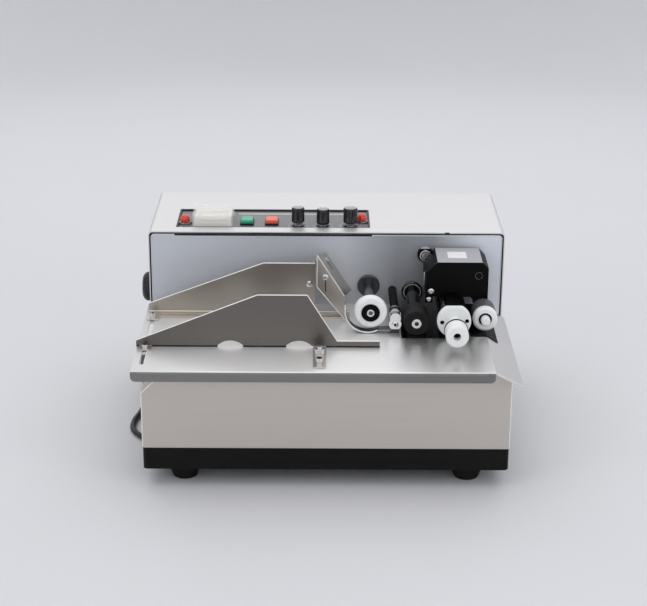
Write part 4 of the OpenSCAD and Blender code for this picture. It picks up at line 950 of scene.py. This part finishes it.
@dataclass
class CarryingStructure:
    """Tray, feet, casing, table and housing."""

    dressing: tuple[Dressing, ...] = (
        ("base_tray", Finish.tray_black, 0.6), ("rubber_feet", Finish.foot_rubber, 0.8),
        ("lower_casing", Finish.lower_steel_reflection_tone, 0.5), ("housing_cover", Finish.casing_steel, 0.35),
        ("front_plate", Finish.plate_steel, 0.4), ("work_table", Finish.table_steel, 0.35),
        ("rear_panel", Finish.casing_steel, 0.3), ("housing_pan", Finish.zinc_sheet, 0.0),
        ("plate_gasket", Finish.black_rubber, 0.0), ("fixing_screws", Finish.chrome, 0.0))
    edge_mm: float = 0.55
    # Pale beads on these lines are painted highlights: the casing's edges, the flap's fold and a glint on the
    # slot's side
    edges: tuple[Edge, ...] = (
        ("casing_left", ((-184.7, 0.4, 44.5), (-184.7, 0.4, 103.0), (-160.0, 0.4, 127.7))),
        ("casing_right", ((184.7, 0.4, 44.5), (184.7, 0.4, 118.0))),
        ("flap_front", ((167.0, -11.4, 130.7), (194.5, -11.4, 116.95))),
        ("slot_side", ((-182.0, 12.0, 130.6), (-182.0, 44.0, 130.6))))
    # A black strip along the plate's top under the cover's front edge: partly a rubber strip, partly a
    # painted shadow of the gap there
    strip_mm: Point = (213.0, 0.5, 1.6)
    strip_at: Point = (-57.5, 184.3, 209.6)
    clip_mm: Point = (5.0, 1.0, 1.6)
    clip_at: Point = (130.0, 183.3, 212.9)
    clip_round: float = 0.2
    line_mm: float = 0.4
    line_drop: float = 1.2
    line_foot: float = 134.0
    line_corner: float = 2.5

    def plate_line(self) -> None:
        """Adds a pale line inside the gasket, on both sides of the dark strip: a painted highlight."""
        low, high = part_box("front_plate")
        reach = (high[0] - low[0]) / 2 / MM - self.line_mm
        top = high[2] / MM - self.line_drop
        parts = []
        for side in (-1, 1):
            strip_end = self.strip_at[0] + side * self.strip_mm[0] / 2
            line = ((side * reach, self.line_foot), (side * reach, top - self.line_corner),
                    (side * (reach - self.line_corner), top), (strip_end, top))
            parts.append(bead([at(x, self.strip_at[1], z) for x, z in line], self.line_mm))
        piece("plate_highlight_line", join(parts), "machine", Finish.edge_highlight)

    def build(self) -> None:
        """Dresses each sheet and casting and adds pale beads along the polished edges as painted highlights.
        """
        dress(self.dressing)
        for name, line in self.edges:
            edge_highlight(name, line, "machine", self.edge_mm)
        self.plate_line()
        fit_slabs((
            ("cover_seal_and_shadow", "machine", Finish.black_rubber, self.strip_mm, self.strip_at, 0.0),
            ("cover_clip", "machine", Finish.black_plastic, self.clip_mm, self.clip_at, self.clip_round)))


@dataclass(frozen=True)
class Knob:
    """A panel knob: its CAD node, body, place along the panel, radius and how far it is pushed down."""

    node: str
    body: str
    x: float
    radius: float
    drop: float

    def profile(self, outline: Profile) -> Profile:
        """Turns an outline of insets from the knob's radius and heights into a profile closed at the axis."""
        rim = tuple((self.radius - inset, height) for inset, height in outline)
        return ((0.0, rim[0][1]), *rim, (0.0, rim[-1][1]))


@dataclass
class ControlPanel:
    """Well, panel, lamps, buttons, knobs and counter."""

    dressing: tuple[Dressing, ...] = (
        ("panel_well", Finish.black_plastic, 0.3), ("control_panel", Finish.grey_panel, 0.0),
        ("button_bezels", Finish.black_plastic, 0.3), ("indicator_lamps", Finish.red_lens, 0.0),
        ("counter_body", Finish.cream_plastic, 0.3), ("counter_cover", Finish.clear_plastic, 0.25),
        ("start_button", Finish.green_cap, 0.4), ("stop_button", Finish.red_cap, 0.4),
        ("side_knob", Finish.black_plastic, 0.0))
    panel_z: float = 211.5
    row_y: float = 212.9
    knobs: tuple[Knob, ...] = (
        Knob("temperature_knob", "temperature", -31.09, 7.25, 0.0),
        Knob("feed_knob", "feed_setting", -3.87, 7.25, 1.6),
        Knob("print_knob", "print_setting", 26.09, 8.0, 0.3))
    knob_h: float = 21.0
    grip_outline: Profile = ((1.0, 4.4), (0.1, 5.4), (0.3, 19.8), (1.1, 20.8))
    flute_n: int = 14
    flute_steps: int = 8
    flute_depth: float = 0.07
    flute_inset: float = 0.9
    nut_inset: float = 1.8
    nut_z: tuple[float, float] = (1.4, 4.35)
    washer_outline: Profile = ((0.2, 0.0), (0.2, 1.2), (0.5, 1.5))
    cap_outline: Profile = ((1.5, -0.6), (1.5, 0.09), (1.8, 0.19), (2.4, 0.19), (2.8, 0.1))
    pointer_mm: tuple[float, float] = (0.7, 0.3)
    pointer_length: float = 0.5
    pointer_reach: float = 0.55
    tick_n: int = 11
    tick_sweep_deg: float = 280.0
    tick_mm: Point = (0.5, 1.6, 0.1)
    tick_gap: float = 3.2
    print_lift: float = 0.05
    counter_line_mm: Point = (33.0, 0.3, 0.6)
    counter_lines_z: tuple[float, ...] = (214.8, 218.6)
    band_mm: Point = (132.0, 4.5, 0.1)
    band_at: tuple[float, float] = (-32.0, 255.0)
    lamp_at: tuple[tuple[float, float], ...] = ((-154.95, 218.9), (38.96, 226.3))
    lamp_ring: Profile = ((5.3, 0.1), (7.4, 0.1), (7.4, 1.2), (6.6, 2.4), (5.6, 2.6), (5.3, 2.2))

    def knob(self, knob: Knob) -> None:
        """Makes one fluted knob on its nut and washer.

        Args:
            knob: the knob.
        """
        axis = at(knob.x, self.row_y, self.panel_z)
        foot = at(knob.x, self.row_y, self.panel_z - knob.drop)
        grip = turned(knob.profile(self.grip_outline), foot, steps=self.flute_steps * self.flute_n)
        for vert in grip.verts:
            way = vert.co - axis
            if math.hypot(way.x, way.y) > (knob.radius - self.flute_inset) * MM:
                cut = 1 - self.flute_depth * max(0.0, math.cos(self.flute_n * math.atan2(way.y, way.x)))
                vert.co.x, vert.co.y = axis.x + way.x * cut, axis.y + way.y * cut
        piece(knob.node + "_grip", grip, knob.body, Finish.black_gloss, replaced=[knob.node])
        low, high = self.nut_z
        nut = turned(knob.profile(((self.nut_inset, low), (self.nut_inset, high - knob.drop))), axis)
        piece(knob.node + "_nut", nut, "machine", Finish.chrome)
        washer = turned(knob.profile(self.washer_outline), axis)
        piece(knob.node + "_washer", washer, "machine", Finish.black_gloss)

    def knob_cap(self, knob: Knob) -> None:
        """Adds a knob's spun metal cap and its pointer line.

        Args:
            knob: the knob.
        """
        top = self.panel_z + self.knob_h - knob.drop
        disc = turned(knob.profile(self.cap_outline), at(knob.x, self.row_y, top))
        piece(knob.body + "_cap", disc, knob.body, Finish.spun_cap)
        wide, thick = self.pointer_mm
        middle = at(knob.x, self.row_y + knob.radius * self.pointer_reach, top + self.print_lift)
        line = block((wide, knob.radius * self.pointer_length, thick), middle)
        piece(knob.body + "_pointer", line, knob.body, Finish.white_nylon)

    def dial(self, knob: Knob) -> None:
        """Adds the printed ticks round a knob.

        Args:
            knob: the knob.
        """
        marks = []
        for i in range(self.tick_n):
            angle = math.radians(self.tick_sweep_deg * (i / (self.tick_n - 1) - 0.5))
            turn = Matrix.Rotation(angle, 4, "Z")
            reach = turn @ Vector((0, knob.radius + self.tick_gap, 0))
            middle = at(knob.x + reach.x, self.row_y + reach.y, self.panel_z + self.print_lift)
            marks.append(block(self.tick_mm, middle, turn))
        piece(knob.body + "_dial", join(marks), "machine", Finish.white_nylon)

    def build(self) -> None:
        """Dresses the panel and adds its fittings."""
        dress(self.dressing)
        for knob in self.knobs:
            self.knob(knob)
            self.knob_cap(knob)
            self.dial(knob)
        band = block(self.band_mm, at(*self.band_at, self.panel_z + self.print_lift))
        piece("legend_band", band, "machine", Finish.panel_print)
        low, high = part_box("counter_body")
        lines = [block(self.counter_line_mm, Vector(((low[0] + high[0]) / 2, low[1], z * MM)))
                 for z in self.counter_lines_z]
        piece("counter_lines", join(lines), "machine", Finish.core_brown)
        for i, (x, y) in enumerate(self.lamp_at):
            ring = turned(self.lamp_ring, at(x, y, self.panel_z))
            piece(f"lamp_ring_{i}", ring, "machine", Finish.shaded_chrome)


@dataclass
class GuidesAndStop:
    """Card guides, stop blade and arc shoe."""

    dressing: tuple[Dressing, ...] = (
        ("front_guide", Finish.guide_steel, 0.3), ("front_guide_clamps", Finish.chrome, 0.0),
        ("rear_guide", Finish.shaded_steel, 0.3), ("rear_guide_clamps", Finish.chrome, 0.0),
        ("stop_bracket", Finish.zinc_sheet, 0.3), ("stop_blade", Finish.shaded_steel, 0.3),
        ("arc_shoe", Finish.shaded_chrome, 0.25), ("shoe_bracket", Finish.chrome, 0.4))
    edge_mm: float = 0.55
    # Pale beads along the guides' and the blade's top edges: painted highlights
    edges: tuple[Edge, ...] = (
        ("front_guide", ((-194.0, 54.4, 138.5), (-70.0, 54.4, 188.0), (-19.5, 54.4, 188.0),
                         (11.0, 54.4, 138.5), (54.5, 54.4, 138.5))),
        ("rear_guide", ((-190.0, 148.4, 144.0), (-67.0, 148.4, 190.0), (-12.0, 148.4, 190.0))),
        ("rear_guide_foot", ((-190.0, 147.8, 135.4), (25.0, 147.8, 135.4))),
        ("stop_blade", ((20.5, 130.3, 132.4), (-9.9, 130.3, 170.0), (-9.9, 130.3, 205.0),
                        (18.98, 130.3, 160.03))))
    # Black strip under the front guide: painted shadow of the gap between the guide and the table
    guide_shadow_x: tuple[tuple[float, float], ...] = ((-194.0, -111.0), (-85.0, -41.0), (-0.5, 54.5))
    guide_shadow_at: tuple[float, float] = (54.8, 131.4)
    guide_shadow_mm: tuple[float, float] = (1.0, 1.7)

    shoe_at: tuple[float, float] = (43.0, 156.0)
    shoe_mid_r: float = 23.6
    shoe_sides: tuple[float, float] = (95.2, 105.8)
    shoe_end_deg: float = 296.0
    shoe_steps: int = 24
    shoe_tip: float = 6.8
    shoe_edge_mm: float = 0.7
    rings: tuple[Ring, ...] = (
        ("rod_sleeve", "machine", Finish.black_paint, (72.0, 119.0, 148.0),
         ((4.05, 0.1), (4.5, 0.1), (4.5, 65.0), (4.05, 65.0))),
        ("rod_band", "machine", Finish.black_paint, (72.0, 109.5, 148.0),
         ((6.1, 0.0), (6.4, 0.0), (6.4, 4.5), (6.1, 4.5))),
        # A black disc in the shoe bolt: painted shade in its socket
        ("shoe_bolt_socket", "machine", Finish.black_paint, (71.7, 93.3, 141.5),
         ((0.0, -0.35), (1.4, -0.35), (1.4, 0.4), (0.0, 0.4))),
        # A pale ring painted as the highlight on the feed flange's rim
        ("feed_flange_ring", "machine", Finish.edge_highlight, (93.5, 180.0, 146.5),
         ((8.7, -0.4), (9.4, -0.4), (9.4, 0.05), (8.7, 0.05))))
    # Black discs: painted shade in the clamp screws' sockets
    sockets: tuple[tuple[str, Point, float], ...] = (
        ("middle", (-7.0, 11.0, 137.55), 2.3), ("left", (-184.5, 49.0, 136.15), 2.0))
    socket_h: float = 0.3
    slabs: tuple[Slab, ...] = (
        ("shoe_foot", "machine", Finish.black_plastic, (9.2, 11.8, 5.0), (71.7, 100.5, 133.6), 0.4),
        # The blade_slot row: a black block, painted shade in the stop blade's slot
        ("blade_slot", "stop_blade", Finish.black_paint, (0.9, 0.3, 13.0), (-1.0, 129.9, 171.0), 0.0))

    def shoe_edges(self) -> None:
        """Adds pale beads along the front and rear edges of the arc shoe as painted highlights."""
        x, z = self.shoe_at
        reach = self.shoe_mid_r
        sweep = self.shoe_end_deg - 180.0
        turns = [math.radians(180.0 + sweep * i / self.shoe_steps) for i in range(self.shoe_steps + 1)]
        arc = [(x + reach * math.cos(turn), z + reach * math.sin(turn)) for turn in turns]
        way = [(x - reach, z + self.shoe_tip), *arc]
        rods = [bead([at(px, y, pz) for px, pz in way], self.shoe_edge_mm) for y in self.shoe_sides]
        piece("shoe_edge_highlights", join(rods), "machine", Finish.edge_highlight)

    def fasteners(self) -> None:
        """Adds the rod's sleeve and bands, black discs painted as the shade in the sockets, the shoe's foot
        and a black block painted as the shade in the blade's slot.
        """
        fit_rings(self.rings)
        for name, place, radius in self.sockets:
            profile = ((0.0, 0.0), (radius, 0.0), (radius, self.socket_h), (0.0, self.socket_h))
            piece(name + "_socket", turned(profile, at(*place)), "front_guide", Finish.black_paint)
        fit_slabs(self.slabs)

    def guide_gap_shadow(self) -> None:
        """Adds a black strip under the front guide, a painted shadow in the gap above the table."""
        thick, high = self.guide_shadow_mm
        y, foot = self.guide_shadow_at
        strips = [block((end - start, thick, high), at((start + end) / 2, y, foot + high / 2))
                  for start, end in self.guide_shadow_x]
        piece("front_guide_gap_shadow", join(strips), "front_guide", Finish.black_rubber)

    def build(self) -> None:
        """Dresses the bent sheets and their fasteners."""
        dress(self.dressing)
        for name, line in self.edges:
            edge_highlight(name, line, name.removesuffix("_foot"), self.edge_mm)
        self.shoe_edges()
        self.fasteners()
        self.guide_gap_shadow()


@dataclass
class PrintHead:
    """Rollers, type drum, head and deflector."""

    dressing: tuple[Dressing, ...] = (
        ("bearing_flanges", Finish.dark_steel, 0.0), ("separator_tyre", Finish.white_nylon, 0.3),
        ("separator_shaft", Finish.shaded_chrome, 0.3), ("feed_tyres", Finish.black_rubber, 0.3),
        ("feed_shaft", Finish.dark_steel, 0.3), ("lower_feed_roller", Finish.black_rubber, 0.3),
        ("platen_roller", Finish.black_rubber, 0.3), ("print_shaft", Finish.chrome, 0.0),
        ("type_drum", Finish.dark_steel, 0.0), ("print_cap", Finish.white_nylon, 0.3),
        ("delivery_shaft", Finish.grey_rubber, 0.3), ("delivery_cap", Finish.white_nylon, 0.0),
        ("exit_deflector", Finish.black_paint, 0.2), ("head_pivot", Finish.chrome, 0.3),
        ("head_bracket", Finish.black_paint, 0.3), ("head_cover", Finish.black_paint, 0.5),
        ("head_screws", Finish.chrome, 0.0), ("ink_roller", Finish.black_rubber, 0.0))
    slabs: tuple[Slab, ...] = (
        ("blank_patch", "head", Finish.white_nylon, (20.0, 20.5, 0.2), (138.9, 156.0, 197.6), 0.08),
        ("head_leg", "head", Finish.black_paint, (8.0, 1.5, 8.0), (108.6, 132.75, 156.0), 0.3))
    spring: tuple[Point, ...] = ((104.4, 148.0, 167.0), (104.4, 148.0, 181.0))
    spring_mm: float = 0.9
    rings: tuple[Ring, ...] = (
        ("separator_bolt", "separator", Finish.chrome, (46.0, 97.0, 153.0),
         ((2.3, -0.3), (3.2, -0.5), (3.9, -0.3), (3.9, 0.05), (2.3, 0.05))),
        ("separator_hub_face", "separator", Finish.black_paint, (46.0, 97.0, 153.0),
         ((3.95, -0.25), (9.0, -0.25), (9.55, 0.1), (3.95, 0.1))),
        ("print_washer", "print", Finish.black_rubber, (132.0, 56.05, 150.0),
         ((6.05, 0.0), (12.2, 0.0), (12.2, 1.3), (6.05, 1.3))),
        ("pivot_face", "machine", Finish.black_paint, (106.6, 173.1, 190.3),
         ((0.0, 0.35), (4.45, 0.35), (4.45, 0.95), (0.0, 0.95))),
        ("leg_screw", "head", Finish.chrome, (108.6, 132.0, 155.8),
         ((0.0, -1.7), (1.8, -1.6), (2.8, -1.0), (3.1, 0.0), (0.0, 0.0))),
        ("feed_bolt", "feed", Finish.chrome, (93.5, 83.5, 146.5),
         ((2.3, -0.3), (4.2, -0.5), (4.9, -0.2), (4.9, 0.05), (2.3, 0.05))),
        ("delivery_seal", "delivery", Finish.black_rubber, (166.0, 102.0, 145.3),
         ((4.9, -1.2), (5.9, -1.5), (6.9, -1.2), (6.9, 0.05), (4.9, 0.05))),
        ("head_hex_black", "head", Finish.black_paint, (160.7, 132.0, 183.0),
         ((0.0, -1.7), (3.6, -1.7), (3.95, -1.4), (3.95, -0.05), (0.0, -0.05))),
        # Black discs in the cap's holes: painted shade inside the holes
        *((f"cap_hole_shade_{i}", "print", Finish.black_paint, (132.0 + x, 81.6, 150.0 + z),
           ((0.0, 0.0), (2.15, 0.0), (2.15, 2.0), (0.0, 2.0)))
          for i, (x, z) in enumerate(((-12.4, -1.0), (13.2, 0.6), (12.0, -6.4)))),
        ("grip_plug", "print", Finish.black_paint, (132.0, 46.0, 150.0),
         ((0.0, 0.0), (3.95, 0.0), (3.95, 2.0), (0.0, 2.0))),
        ("blade_button", "stop_blade", Finish.chrome, (-1.0, 130.0, 181.0),
         ((0.0, -1.7), (2.0, -1.6), (3.1, -1.0), (3.5, 0.0), (0.0, 0.0))))

    def build(self) -> None:
        """Dresses the rollers and the head and adds the small turned details."""
        dress(self.dressing)
        fit_slabs(self.slabs)
        spring = bead([at(*point) for point in self.spring], self.spring_mm)
        piece("head_spring", spring, "head", Finish.chrome)
        fit_rings(self.rings)


@dataclass
class Drive:
    """What is inside the housing."""

    dressing: tuple[Dressing, ...] = (
        ("rear_bearing_plate", Finish.zinc_sheet, 0.0), ("main_motor", Finish.motor_black, 0.0),
        ("motor_pulley", Finish.dark_steel, 0.0), ("drive_belts", Finish.black_rubber, 0.0),
        ("control_board", Finish.board_green, 0.0), ("transformer", Finish.core_brown, 0.0))

    def build(self) -> None:
        """Dresses the drive and the electrics."""
        dress(self.dressing)


def main() -> None:
    """Builds the scene: camera and lead first, then the studio and the machine."""
    logging.basicConfig(level=logging.INFO, format="%(message)s")
    parts: tuple[SubAssembly, ...] = (PhotoCamera(), MainsLead(), Studio(), CarryingStructure(),
                                      ControlPanel(), GuidesAndStop(), PrintHead(), Drive())
    for part in parts:
        part.build()
        LOG.info("built %s", type(part).__name__)
    bpy.context.view_layer.update()


if __name__ == "__main__":
    main()
